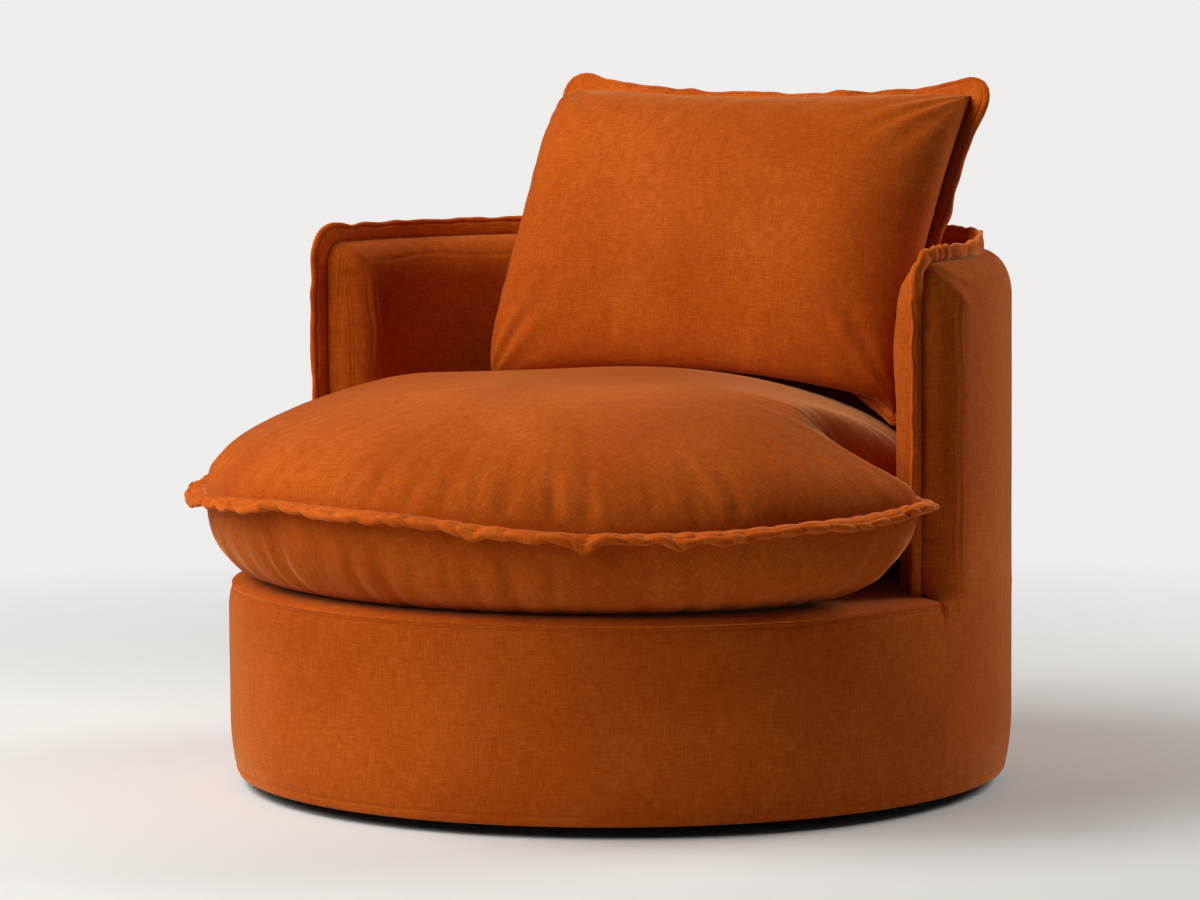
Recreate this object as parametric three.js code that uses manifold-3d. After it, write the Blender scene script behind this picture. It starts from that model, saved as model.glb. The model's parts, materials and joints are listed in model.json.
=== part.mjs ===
// Round swivel cuddle chair: a cloth-covered drum that turns on a ball-bearing plate, a wall that
// wraps its back half, a loose round seat cushion and a loose back cushion.
// Millimetres, +Z up, the front faces -Y. The model is laid out about the swivel axis and then moved
// so that its origin is on the floor under the middle of its footprint.
import * as THREE from 'three';
import { mergeVertices } from 'three/addons/utils/BufferGeometryUtils.js';
import Module from 'manifold-3d';

const wasm = await Module();
wasm.setup();

// Fits
const fitGap = 0.3;            // between pieces that touch
const looseGap = 0.8;          // between cushions and what they rest on
const clothThickness = 2.5;    // velvet with its backing
const weldSize = 1e-4;         // points closer than this are one point
const overrun = 1;             // how far a cutting tool passes a face

// Drum and wall, over the cloth
const shellRadius = 500;
const wallThickness = 90;
const wallSeamInset = 39;      // from the outer cloth in to the seam along the wall's top
const wallSeamHeight = 672;
const wallRoll = 56;           // length over which the skins roll in to the seam
const seamCornerRadius = 24;
const armSeamSetforward = 17;  // how far the arm-front seams stand ahead of the swivel axis
const deckHeight = 262;
const deckEdgeDrop = 7;        // the drum's top seam lies this far below the deck
const deckEdgeInset = 5;       // and this far inside the drum's side
const deckEdgeRise = 30;
const deckRoundLength = 40;    // the deck's edge rolls down over this length
const deckRoundShare = 0.45;
const deckFallShare = 0.35;
const hemHeight = 15;
const hemTuck = 9;
const hemRise = 75;
const cornerBlend = 5;         // how sharply top roll and end roll meet at the wall's corners

// Welt flanges, the loose cloth edges sewn into each seam
const flangeThickness = 5;
const flangeTuck = 2.2;
const wallFlangeWidth = 27;
const wallRuffleHeight = 1.6;
const wallRuffleLength = 92;
const seatFlangeWidth = 26;
const seatSideFlangeWidth = 8;
const seatBackFlangeWidth = 16;
const seatRuffleHeight = 1.8;
const seatRuffleLength = 125;
const backFlangeWidth = 26;
const backBottomFlangeWidth = 22;
const backRuffleHeight = 2;
const backRuffleLength = 92;

// Floor plinth and glides
const glideHeight = 8;
const glideRadius = 18;
const glideTaper = 3;
const glideCount = 5;
const glideSetback = 34;
const plinthSetback = 100;     // from the outer cloth in to the plinth's edge
const plinthThickness = 18;

// Swivel: two pressed plates with a ring of balls between their races
const plateWidth = 300;
const plateThickness = 3;
const plateBoreRadius = 62;
const plateCornerRadius = 18;
const raceRadius = 110;
const raceHalfWidth = 8;
const raceHeight = 4;
const grooveHalfWidth = 3;
const grooveDepth = 1.8;
const ballRadius = 4.5;
const ballCount = 10;
const cageHalfWidth = 6;
const cageThickness = 2;
const boltRadius = 4;
const boltHeadRadius = 7.5;
const boltHeadHeight = 5.5;
const boltInset = 20;
const boltStandout = 2;
const boltHoleClearance = 0.5;

// Frame inside the drum and wall
const boardThickness = 18;
const boardWindowInner = 235;
const boardWindowCount = 4;
const boardRimWidth = 66.9;    // left round the outside of the windows
const boardWindowSpan = 0.9;   // radians
const panelThickness = 4;
const panelFloorClearance = 30;
const waddingThickness = 6;
const paddingThickness = 30;
const postWidth = 45;
const springSpace = 36.2;      // from the seat ring up to the deck pad
const deckPadThickness = 27;
const innerTuck = 62;          // how far the inner cloth runs down below the deck
const cambricThickness = 1;
const cambricInner = 216;
const cambricInset = 6;
const topRailThickness = 18;
const wallPostShares = [0.065, 0.35, 0.65, 0.935];
const basePostShares = [0.125, 0.375, 0.625, 0.875];

// Zigzag seat springs, clipped to the seat ring front and back
const springCount = 5;
const springSpacing = 95;
const springHalfWidth = 32;
const springBarSpacing = 45;   // from each cross bar of a spring to the next, about
const wireRadius = 1.8;
const springRailOverlap = 16;
const clipThickness = 1.2;
const clipWidth = 16;
const clipTail = 13;
const clipWrap = 2.1;          // radians round the wire from level with its middle
const ringOpeningHalfWidth = 250;
const ringEndWidth = 110;      // from the barrel's lining in to the opening's end
const ringOpeningCorner = 30;
const clothSheetThickness = 2;
const clothSheetMargin = 12;

// Seat cushion
const seatOverhang = 27;       // its seam stands this far outside the drum
const seatCrownHeight = 519;
const seatSeamFront = 364;
const seatSeamRise = 24;       // the seam climbs this much from the front to the ears
const seatEarAngle = 0.215;    // radians ahead of the side where the ear's corner starts
const seatEarInset = 13;
const seatEarForward = 92;
const seatNeckForward = 70;
const seatNeckInset = 5;
const seatBarrelGap = 9;
const seatFanForward = 180;
const seatTopRoll = 300;       // from the seam in to where the top is full
const seatTopPower = 1.45;
const seatBottomRoll = 150;
const seatBottomPower = 3.9;
const coreInset = 8;           // fillings are drawn in this much at the seam
const coreInsetPower = 8;

// Back cushion
const backHalfHeight = 221;
const backFrontBulge = 118;
const backRearBulge = 88;
const backLean = 0.443;        // radians from upright
const backCentreRise = 53;     // up the lean from where it rests on the wall to its middle
const backWallGap = 9;
const backRestDepthShare = 0.585;
const backSidePullShare = 0.045;
const backTopPullShare = 0.1;
const backBottomPullShare = 0.36;
const backBulgePower = 3;
const backSettle = 2.3;        // into the hollows between the seat's facets
const backSag = 60;            // the front face hangs this far below its bottom seam
const backTuckShare = 3;       // how much more its lining rises there, so that the cloth stays whole
const backTuckPower = 4;
const backEdgePower = 8;
const backCornerReach = 2;     // how much further the flange stands out at the corners

// Fineness of the faceted forms
const wallSteps = 20;
const frontSteps = 20;
const rollSteps = 3;
const lathed = 24;
const hexSides = 6;
const smallSides = 10;
const glideSides = 12;
const wireSides = 4;
const bendSteps = 3;
const clipBendSteps = 5;
const ruffleSteps = 4;
const seatFrontSteps = 10;
const seatBackSteps = 8;
const backCells = 10;

// Worked-out sizes of the wall
const seamRadius = shellRadius - wallSeamInset;
const innerRadius = shellRadius - wallThickness;
const wallStart = -Math.asin(armSeamSetforward / seamRadius);
const wallSweep = Math.PI - 2 * wallStart;
const wallLength = seamRadius * wallSweep;
const facetSag = shellRadius * (1 - Math.cos(wallSweep / wallSteps / 2));
const lipGap = flangeThickness / 2 + 2 * fitGap;
const seamHalfGap = lipGap + facetSag;
const frameTop = wallSeamHeight - wallRoll;
const deckSeamHeight = deckHeight - deckEdgeDrop;
const underCloth = clothThickness + fitGap;
const deckPadBottom = deckHeight - underCloth - deckPadThickness;
const seatRingTop = deckPadBottom - springSpace;
const seatRingBottom = seatRingTop - boardThickness;
const panelOuter = shellRadius - underCloth - waddingThickness - fitGap;
const panelInner = panelOuter - panelThickness;
const liningOuter = innerRadius + underCloth + paddingThickness + fitGap + panelThickness;
const paddingOuter = innerRadius + underCloth + paddingThickness;

// Worked-out plan of the frame's boards
const plinthRadius = shellRadius - plinthSetback;
const boardWindowOuter = panelInner - boardRimWidth;
const ringOpeningHalfDepth = innerRadius - ringEndWidth;

// Worked-out heights of the swivel and base
const plinthBottom = glideHeight + fitGap;
const lowerPlateBottom = plinthBottom + plinthThickness + fitGap;
const lowerPlateTop = lowerPlateBottom + plateThickness;
const grooveSlope = Math.hypot(grooveHalfWidth, grooveDepth) / grooveHalfWidth;
const ballRise = raceHeight - grooveDepth + (ballRadius + fitGap) * grooveSlope;
const ballHeight = lowerPlateTop + ballRise;
const upperPlateBottom = ballHeight + ballRise;
const boardBottom = upperPlateBottom + plateThickness + fitGap;
const boardTop = boardBottom + boardThickness;

const velvet = finish(0xb9551e, 0.85, 0);
const velvetDeep = finish(0xa94c1a, 0.88, 0);
const plywood = finish(0xc9a470, 0.7, 0);
const hardboard = finish(0x8a5f38, 0.8, 0);
const foam = finish(0xe8dfc0, 0.95, 0);
const wadding = finish(0xf1efe8, 0.95, 0);
const hessian = finish(0xb49a6a, 0.95, 0);
const cambric = finish(0x1a1a1b, 0.95, 0);
const blackPaint = finish(0x1c1b1a, 0.6, 0);
const nylon = finish(0x242424, 0.5, 0);
const zincSteel = finish(0xa9adb0, 0.4, 0.9);
const springSteel = finish(0x6f7478, 0.45, 0.9);

function finish(color, roughness, metalness) {
  return new THREE.MeshStandardMaterial({ color, roughness, metalness });
}

// Group everything, centred on its footprint: the front reach is the cushion's flange, the rear
// reach is the wall.
const chair = new THREE.Group();
chair.position.y = (seatOverhang + seatFlangeWidth) / 2;

function add(name, geometry, material) {
  const mesh = new THREE.Mesh(geometry, material);
  mesh.name = name;
  chair.add(mesh);
}

// Weld points that coincide, drop flat triangles and turn the solid's faces outwards.
function closedSolid(points, triangles) {
  const ids = new Map();
  const welded = [];
  const renamed = points.map((point) => {
    const key = point.map((value) => Math.round(value / weldSize)).join();
    if (!ids.has(key)) {
      ids.set(key, welded.length);
      welded.push(point);
    }
    return ids.get(key);
  });
  const kept = triangles
    .map((corners) => corners.map((corner) => renamed[corner]))
    .filter(([a, b, c]) => a !== b && b !== c && c !== a);
  const volume = kept.reduce((sum, [a, b, c]) => {
    const [p, q, r] = [welded[a], welded[b], welded[c]];
    const cross = [
      q[1] * r[2] - q[2] * r[1],
      q[2] * r[0] - q[0] * r[2],
      q[0] * r[1] - q[1] * r[0],
    ];
    return sum + p[0] * cross[0] + p[1] * cross[1] + p[2] * cross[2];
  }, 0);
  const turned = volume < 0 ? kept.map(([a, b, c]) => [a, c, b]) : kept;
  const geometry = new THREE.BufferGeometry();
  geometry.setAttribute('position', new THREE.Float32BufferAttribute(welded.flat(), 3));
  geometry.setIndex(turned.flat());
  return geometry;
}

// A closed solid between two layers of points over a grid of cells. The layers may have holes and
// steps where cells aren't active, may close on themselves along the columns, and may end in poles.
function sheetSolid({ columns, rows, wrap = false, active = () => true, front, back }) {
  const across = wrap ? columns : columns + 1;
  const points = [];
  [front, back].forEach((layer) => {
    for (let j = 0; j <= rows; j += 1) {
      for (let i = 0; i < across; i += 1) {
        points.push(layer(i, j));
      }
    }
  });
  const id = (layer, i, j) => (layer * (rows + 1) + j) * across + (wrap ? i % columns : i);
  const filled = (i, j) => {
    const column = wrap ? (i + columns) % columns : i;
    return column >= 0 && column < columns && j >= 0 && j < rows && active(column, j);
  };
  const triangles = [];
  for (let j = 0; j < rows; j += 1) {
    for (let i = 0; i < columns; i += 1) {
      if (filled(i, j)) {
        const ring = [[i, j], [i + 1, j], [i + 1, j + 1], [i, j + 1]];
        const beyond = [[i, j - 1], [i + 1, j], [i, j + 1], [i - 1, j]];
        const [a, b, c, d] = ring.map(([column, row]) => id(0, column, row));
        const [e, f, g, h] = ring.map(([column, row]) => id(1, column, row));
        triangles.push([a, b, c], [a, c, d], [e, g, f], [e, h, g]);
        [[a, b, e, f], [b, c, f, g], [c, d, g, h], [d, a, h, e]].forEach(([p, q, r, s], side) => {
          if (!filled(...beyond[side])) {
            triangles.push([q, p, r], [q, r, s]);
          }
        });
      }
    }
  }
  return closedSolid(points, triangles);
}

const onCircle = (radius, angle, height) => [
  radius * Math.cos(angle),
  radius * Math.sin(angle),
  height,
];

const evenAngles = (count) => Array.from({ length: count }, (ignored, k) => (2 * Math.PI * k) / count);

// Booleans
function toManifold(geometry) {
  const bare = geometry.clone();
  bare.deleteAttribute('normal');
  bare.deleteAttribute('uv');
  const welded = mergeVertices(bare, weldSize);
  return new wasm.Manifold(new wasm.Mesh({
    numProp: 3,
    vertProperties: new Float32Array(welded.attributes.position.array),
    triVerts: new Uint32Array(welded.index.array),
  }));
}

function fromManifold(solid) {
  const mesh = solid.getMesh();
  const geometry = new THREE.BufferGeometry();
  geometry.setAttribute('position', new THREE.BufferAttribute(new Float32Array(mesh.vertProperties), 3));
  geometry.setIndex(new THREE.BufferAttribute(new Uint32Array(mesh.triVerts), 1));
  return geometry;
}

function joined(geometries) {
  const solids = geometries.map(toManifold);
  return fromManifold(solids.reduce((whole, solid) => whole.add(solid)));
}

// Revolve a closed profile of [radius, height] points about +Z, with a step at each angle.
function lathe(profile, angles) {
  const count = angles.length;
  const points = profile.flatMap(([radius, height]) => (
    angles.map((angle) => onCircle(radius, angle, height))
  ));
  const triangles = [];
  profile.forEach((ignored, j) => {
    const next = (j + 1) % profile.length;
    for (let i = 0; i < count; i += 1) {
      const on = (i + 1) % count;
      const [a, b] = [j * count + i, j * count + on];
      const [c, d] = [next * count + on, next * count + i];
      triangles.push([a, b, c], [a, c, d]);
    }
  });
  return closedSolid(points, triangles);
}

function extrude(shape, bottom, height, curveSegments) {
  const geometry = new THREE.ExtrudeGeometry(shape, { depth: height, bevelEnabled: false, curveSegments });
  return geometry.translate(0, 0, bottom);
}

// Plan angles that every round layer shares, so that their facets lie parallel.
const rollShares = Array.from({ length: rollSteps + 1 }, (ignored, k) => (
  1 - Math.cos((k * Math.PI) / (2 * rollSteps))
));
const wallStations = [
  ...rollShares.map((share) => share * wallRoll),
  ...Array.from({ length: wallSteps - 1 }, (ignored, k) => (
    wallRoll + ((k + 1) * (wallLength - 2 * wallRoll)) / wallSteps
  )),
  ...rollShares.map((share) => wallLength - share * wallRoll).reverse(),
];
const wallCells = wallStations.length - 1;
const frontSweep = Math.PI + 2 * wallStart;
const shellAngles = [
  ...wallStations.map((along) => wallStart + along / seamRadius),
  ...Array.from({ length: frontSteps - 1 }, (ignored, k) => (
    Math.PI - wallStart + ((k + 1) * frontSweep) / frontSteps
  )),
];
const frameAngles = shellAngles.slice(rollSteps, wallCells - rollSteps + 1);

// An upright band between two radii: a bent panel, a rail or, where it goes all round, a ring.
function arcBand(angles, wrap, radii, heights) {
  const [inner, outer] = radii;
  return sheetSolid({
    columns: wrap ? angles.length : angles.length - 1,
    rows: heights.length - 1,
    wrap,
    front: (i, j) => onCircle(outer, angles[i], heights[j]),
    back: (i, j) => onCircle(inner, angles[i], heights[j]),
  });
}

function roundShape(radius) {
  return new THREE.Shape(shellAngles.map((angle) => (
    new THREE.Vector2(radius * Math.cos(angle), radius * Math.sin(angle))
  )));
}

// The wall's skins, as if unrolled: "along" runs from the right arm's front seam to the left one,
// "below" runs down from the top seam. Near a corner the square grid is mapped onto a quarter disc,
// so that the seam turns the corner in an arc.
function roundedCorner(end, top) {
  if (end >= seamCornerRadius || top >= seamCornerRadius) {
    return [end, top];
  }
  const p = (seamCornerRadius - end) / seamCornerRadius;
  const q = (seamCornerRadius - top) / seamCornerRadius;
  return [
    seamCornerRadius * (1 - p * Math.sqrt(1 - (q * q) / 2)),
    seamCornerRadius * (1 - q * Math.sqrt(1 - (p * p) / 2)),
  ];
}

function skinBulge(end, top) {
  const nearEnd = Math.max(0, 1 - end / wallRoll);
  const nearTop = Math.max(0, 1 - top / wallRoll);
  const edge = Math.min(1, (nearEnd ** cornerBlend + nearTop ** cornerBlend) ** (1 / cornerBlend));
  return Math.sqrt(1 - edge * edge);
}

// A point of the outer or inner skin, or of a layer that lies "inset" under it.
function wallPoint(along, below, outside, inset) {
  const leftHalf = along > wallLength / 2;
  const [end, top] = roundedCorner(leftHalf ? wallLength - along : along, below);
  const bulge = skinBulge(end, top);
  const endInset = inset * Math.max(0, 1 - end / wallRoll);
  const topInset = inset * Math.max(0, 1 - top / wallRoll);
  const turn = wallStart + (end + endInset) / seamRadius;
  const edgeRadius = outside ? seamRadius + seamHalfGap : seamRadius - seamHalfGap;
  const fullRadius = outside ? shellRadius - inset : innerRadius + inset;
  const radius = edgeRadius + (fullRadius - edgeRadius) * bulge;
  return onCircle(radius, leftHalf ? Math.PI - turn : turn, wallSeamHeight - top - topInset);
}

const heightBelow = (height) => wallSeamHeight - height;
const endBulge = (along) => skinBulge(Math.min(along, wallLength - along), wallRoll);
const topDistances = rollShares.map((share) => share * wallRoll);

// Drum's side: tucked in at the hem, and rounded in to the deck seam where no wall stands on it.
function drumRadius(height, column) {
  const low = Math.max(0, 1 - (height - hemHeight) / hemRise);
  const high = Math.max(0, 1 - (deckSeamHeight - height) / deckEdgeRise);
  const open = column > wallCells ? 1 : 1 - endBulge(wallStations[column]);
  return shellRadius - hemTuck * low * low - deckEdgeInset * high * high * open;
}

// Outer cover: one cloth round the drum and up the outside of the wall.
function outerCover() {
  const deckEdgeMiddle = deckSeamHeight - deckEdgeRise / 2;
  const drumHeights = [
    hemHeight,
    hemHeight + hemRise / 3,
    hemHeight + hemRise,
    deckSeamHeight - deckEdgeRise,
    deckEdgeMiddle,
    deckSeamHeight,
  ];
  const foot = deckHeight + fitGap;
  const wallDepths = [
    heightBelow(foot),
    heightBelow((foot + frameTop) / 2),
    ...[...topDistances].reverse(),
  ];
  const drumRows = drumHeights.length - 1;
  const layer = (inset) => (i, j) => {
    if (j <= drumRows || i > wallCells) {
      const height = drumHeights[Math.min(j, drumRows)];
      return onCircle(drumRadius(height, i) - inset, shellAngles[i], height);
    }
    return wallPoint(wallStations[i], wallDepths[j - drumRows - 1], true, inset);
  };
  return sheetSolid({
    columns: shellAngles.length,
    rows: drumRows + wallDepths.length,
    wrap: true,
    active: (i, j) => j < drumRows || i < wallCells,
    front: layer(0),
    back: layer(clothThickness),
  });
}

// Inner cover: lines the barrel, from below the deck up to the seam.
function innerCover() {
  const bottom = deckHeight - innerTuck;
  const depths = [
    heightBelow(bottom),
    heightBelow((bottom + frameTop) / 2),
    ...[...topDistances].reverse(),
  ];
  const layer = (inset) => (i, j) => wallPoint(wallStations[i], depths[j], false, inset);
  return sheetSolid({
    columns: wallCells,
    rows: depths.length - 1,
    front: layer(0),
    back: layer(clothThickness),
  });
}

// Edge roll: soft padding that fills the skins along the wall's top and down both arm fronts.
function edgeRoll() {
  const bottom = heightBelow(deckPadBottom);
  const depths = [
    bottom,
    (wallRoll + bottom) / 2,
    ...topDistances.map((depth) => Math.min(depth, wallRoll - fitGap)).reverse(),
  ];
  const lowRows = depths.length - 1 - rollSteps;
  const stations = wallStations.map((along, i) => {
    if (i === rollSteps) {
      return along - fitGap;
    }
    return i === wallCells - rollSteps ? along + fitGap : along;
  });
  return sheetSolid({
    columns: wallCells,
    rows: depths.length - 1,
    active: (i, j) => j >= lowRows || i < rollSteps || i >= wallCells - rollSteps,
    front: (i, j) => wallPoint(stations[i], depths[j], true, underCloth + fitGap),
    back: (i, j) => wallPoint(stations[i], depths[j], false, underCloth + fitGap),
  });
}

// Thin wadding between the outer cover and the bent panels.
function outerWadding() {
  const heights = [hemHeight + hemRise, deckSeamHeight - deckEdgeRise, frameTop];
  return sheetSolid({
    columns: shellAngles.length,
    rows: heights.length - 1,
    wrap: true,
    active: (i, j) => j === 0 || (i >= rollSteps && i < wallCells - rollSteps),
    front: (i, j) => onCircle(panelOuter + fitGap + waddingThickness, shellAngles[i], heights[j]),
    back: (i, j) => onCircle(panelOuter + fitGap, shellAngles[i], heights[j]),
  });
}

// Flange of the wall: up the right arm's front, along the top and down the left arm's front. Each
// step has a place on the seam and the direction, in the unrolled wall, in which the flange stands.
function wallFlange() {
  const foot = heightBelow(deckHeight + fitGap);
  const rise = foot - seamCornerRadius;
  const top = wallLength - 2 * seamCornerRadius;
  const perStep = wallRuffleLength / ruffleSteps;
  const upSteps = Math.round(rise / perStep);
  const topSteps = 2 * Math.round(top / perStep / 2);
  const stops = [];
  for (let k = 0; k < upSteps; k += 1) {
    stops.push([0, foot - (rise * k) / upSteps, -1, 0]);
  }
  for (let k = 0; k < rollSteps; k += 1) {
    const turn = (k * Math.PI) / (2 * rollSteps);
    const [c, s] = [Math.cos(turn), Math.sin(turn)];
    stops.push([seamCornerRadius * (1 - c), seamCornerRadius * (1 - s), -c, -s]);
  }
  for (let k = 0; k <= topSteps / 2; k += 1) {
    stops.push([seamCornerRadius + (top * k) / topSteps, 0, 0, -1]);
  }
  const mirrored = stops.slice(0, -1).reverse().map(([along, below, outAlong, outBelow]) => (
    [wallLength - along, below, -outAlong, outBelow]
  ));
  const path = [...stops, ...mirrored];
  const layer = (side) => (i, j) => {
    const [along, below, outAlong, outBelow] = path[i];
    const out = j === 0 ? -flangeTuck : wallFlangeWidth;
    const ruffle = j === 0 ? 0 : wallRuffleHeight * Math.sin((2 * Math.PI * i) / ruffleSteps);
    const turn = wallStart + (along + outAlong * out) / seamRadius;
    const height = wallSeamHeight - Math.min(below + outBelow * out, foot);
    return onCircle(seamRadius + ruffle + (side * flangeThickness) / 2, turn, height);
  };
  return sheetSolid({ columns: path.length - 1, rows: 1, front: layer(1), back: layer(-1) });
}

// Deck: the cloth-covered platform under the seat cushion. It is turned as a disc, and its back half
// is cut narrower to fit inside the wall.
function insideWall(disc) {
  const reach = shellRadius + overrun;
  const stepFront = (-armSeamSetforward * shellRadius) / seamRadius - looseGap;
  const block = new THREE.BoxGeometry(2 * reach, reach - stepFront, deckHeight)
    .translate(0, (reach + stepFront) / 2, deckHeight);
  const barrel = extrude(roundShape(innerRadius - looseGap), 0, 2 * deckHeight, 1);
  const zone = toManifold(block).subtract(toManifold(barrel));
  return fromManifold(toManifold(disc).subtract(zone));
}

// The deck's top from its middle out to where it starts to fall to the seam, "drop" under its face.
function deckProfile(drop) {
  const rim = shellRadius - deckEdgeInset - drop;
  return [
    [0, deckHeight - drop],
    [rim - deckRoundLength, deckHeight - drop],
    [rim - deckRoundLength * deckRoundShare, deckHeight - drop - deckEdgeDrop * deckFallShare],
  ];
}

function deckCover() {
  const rim = shellRadius - deckEdgeInset;
  const foot = deckSeamHeight + fitGap;
  return insideWall(lathe([
    ...deckProfile(0),
    [rim, foot + clothThickness / 2],
    [rim, foot],
    [rim - clothThickness, foot],
    ...deckProfile(clothThickness).reverse(),
  ], shellAngles));
}

function deckPad() {
  const rim = shellRadius - deckEdgeInset - underCloth - clothThickness;
  return insideWall(lathe([
    ...deckProfile(underCloth),
    [rim, deckSeamHeight - fitGap],
    [rim, deckPadBottom],
    [0, deckPadBottom],
  ], shellAngles));
}

// Zigzag springs. The wire's centre line follows an arch from rail to rail, and swings from side to
// side in straight bars joined by half circles.
const springRailHeight = seatRingTop + fitGap + clipThickness + fitGap + wireRadius;
const springReach = ringOpeningHalfDepth + springRailOverlap;
const springBars = 2 * Math.round(springReach / springBarSpacing);
const sheetRise = wireRadius + 2 * fitGap;
const springCrown = deckPadBottom - fitGap - clothSheetThickness - sheetRise - springRailHeight;
const springArch = (y) => springRailHeight + springCrown * (1 - (y / springReach) ** 2);

function springLine(x) {
  const pitch = (2 * springReach) / springBars;
  const bend = pitch / 2;
  const straight = springHalfWidth - bend;
  const line = [[x + straight, -springReach], [x - straight, -springReach]];
  for (let bar = 0; bar < springBars; bar += 1) {
    const side = bar % 2 === 0 ? -1 : 1;
    const middle = -springReach + pitch * (bar + 0.5);
    for (let k = 1; k <= bendSteps; k += 1) {
      const turn = (Math.PI * k) / bendSteps;
      line.push([x + side * (straight + bend * Math.sin(turn)), middle - bend * Math.cos(turn)]);
    }
    line.push([x - side * straight, middle + bend]);
  }
  return line.map(([px, py]) => new THREE.Vector3(px, py, springArch(py)));
}

// A round wire through a list of points that all lie nearly level, with flat ends.
function wire(line, radius, sides) {
  const up = new THREE.Vector3(0, 0, 1);
  const rings = line.map((point, k) => {
    const before = line[Math.max(0, k - 1)];
    const after = line[Math.min(line.length - 1, k + 1)];
    const ahead = after.clone().sub(before).normalize();
    const side = ahead.clone().cross(up).normalize();
    const rise = side.clone().cross(ahead);
    return Array.from({ length: sides }, (ignored, s) => {
      const turn = (2 * Math.PI * s) / sides;
      return point.clone()
        .addScaledVector(side, radius * Math.cos(turn))
        .addScaledVector(rise, radius * Math.sin(turn))
        .toArray();
    });
  });
  const points = rings.flat();
  const triangles = [];
  for (let k = 0; k < rings.length - 1; k += 1) {
    for (let s = 0; s < sides; s += 1) {
      const on = (s + 1) % sides;
      const [a, b] = [k * sides + s, k * sides + on];
      triangles.push([a, b, b + sides], [a, b + sides, a + sides]);
    }
  }
  const last = (rings.length - 1) * sides;
  for (let s = 1; s < sides - 1; s += 1) {
    triangles.push([0, s + 1, s], [last, last + s, last + s + 1]);
  }
  return closedSolid(points, triangles);
}

// A folded steel clip: its tail lies on the rail, and it wraps the inner side of the spring's bar.
function springClip(x, side) {
  const inner = wireRadius + fitGap;
  const outer = inner + clipThickness;
  const middle = outer;
  const shape = new THREE.Shape();
  shape.moveTo(-clipTail, 0);
  shape.lineTo(0, 0);
  shape.absarc(0, middle, outer, -Math.PI / 2, clipWrap, false);
  shape.absarc(0, middle, inner, clipWrap, -Math.PI / 2, true);
  shape.lineTo(-clipTail, clipThickness);
  const geometry = extrude(shape, -clipWidth / 2, clipWidth, clipBendSteps);
  const turned = new THREE.Matrix4().makeBasis(
    new THREE.Vector3(0, 1, 0),
    new THREE.Vector3(0, 0, 1),
    new THREE.Vector3(1, 0, 0),
  );
  geometry.applyMatrix4(turned);
  if (side > 0) {
    geometry.rotateZ(Math.PI);
  }
  return geometry.translate(x, side * springReach, seatRingTop + fitGap);
}

// The cloth sheet that keeps the deck pad off the springs lies on their arch.
function springSheet() {
  const halfDepth = springReach - clipThickness - wireRadius - clothSheetMargin;
  const halfWidth = springSpacing * ((springCount - 1) / 2) + springHalfWidth;
  const y = (j) => -halfDepth + (2 * halfDepth * j) / springBars;
  return sheetSolid({
    columns: 1,
    rows: springBars,
    front: (i, j) => [(2 * i - 1) * halfWidth, y(j), springArch(y(j)) + sheetRise + clothSheetThickness],
    back: (i, j) => [(2 * i - 1) * halfWidth, y(j), springArch(y(j)) + sheetRise],
  });
}

// Seat ring: the ply platform with the spring opening.
function seatRing() {
  const shape = roundShape(panelInner - fitGap);
  const [w, d, r] = [ringOpeningHalfWidth, ringOpeningHalfDepth, ringOpeningCorner];
  const hole = new THREE.Path();
  hole.moveTo(-w + r, -d);
  hole.lineTo(w - r, -d);
  hole.absarc(w - r, -d + r, r, -Math.PI / 2, 0, false);
  hole.absarc(w - r, d - r, r, 0, Math.PI / 2, false);
  hole.absarc(-w + r, d - r, r, Math.PI / 2, Math.PI, false);
  hole.absarc(-w + r, -d + r, r, Math.PI, 1.5 * Math.PI, false);
  shape.holes.push(hole);
  return extrude(shape, seatRingBottom, boardThickness, rollSteps);
}

// Bolt places at the corners of the square swivel plates.
const boltPlace = plateWidth / 2 - boltInset;
const boltPlaces = [[1, 1], [-1, 1], [-1, -1], [1, -1]].map(([x, y]) => [x * boltPlace, y * boltPlace]);
const roundHole = (x, y, radius) => {
  const hole = new THREE.Path();
  hole.absarc(x, y, radius, 0, 2 * Math.PI, false);
  return hole;
};

// Base board: the round ply floor of the turning frame, lightened by windows.
function baseBoard() {
  const shape = roundShape(panelInner - fitGap);
  for (let k = 0; k < boardWindowCount; k += 1) {
    const middle = (2 * Math.PI * k) / boardWindowCount;
    const window = new THREE.Path();
    window.absarc(0, 0, boardWindowOuter, middle - boardWindowSpan / 2, middle + boardWindowSpan / 2, false);
    window.absarc(0, 0, boardWindowInner, middle + boardWindowSpan / 2, middle - boardWindowSpan / 2, true);
    window.closePath();
    shape.holes.push(window);
  }
  boltPlaces.forEach(([x, y]) => shape.holes.push(roundHole(x, y, boltRadius + boltHoleClearance)));
  return extrude(shape, boardBottom, boardThickness, 2 * rollSteps);
}

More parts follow.
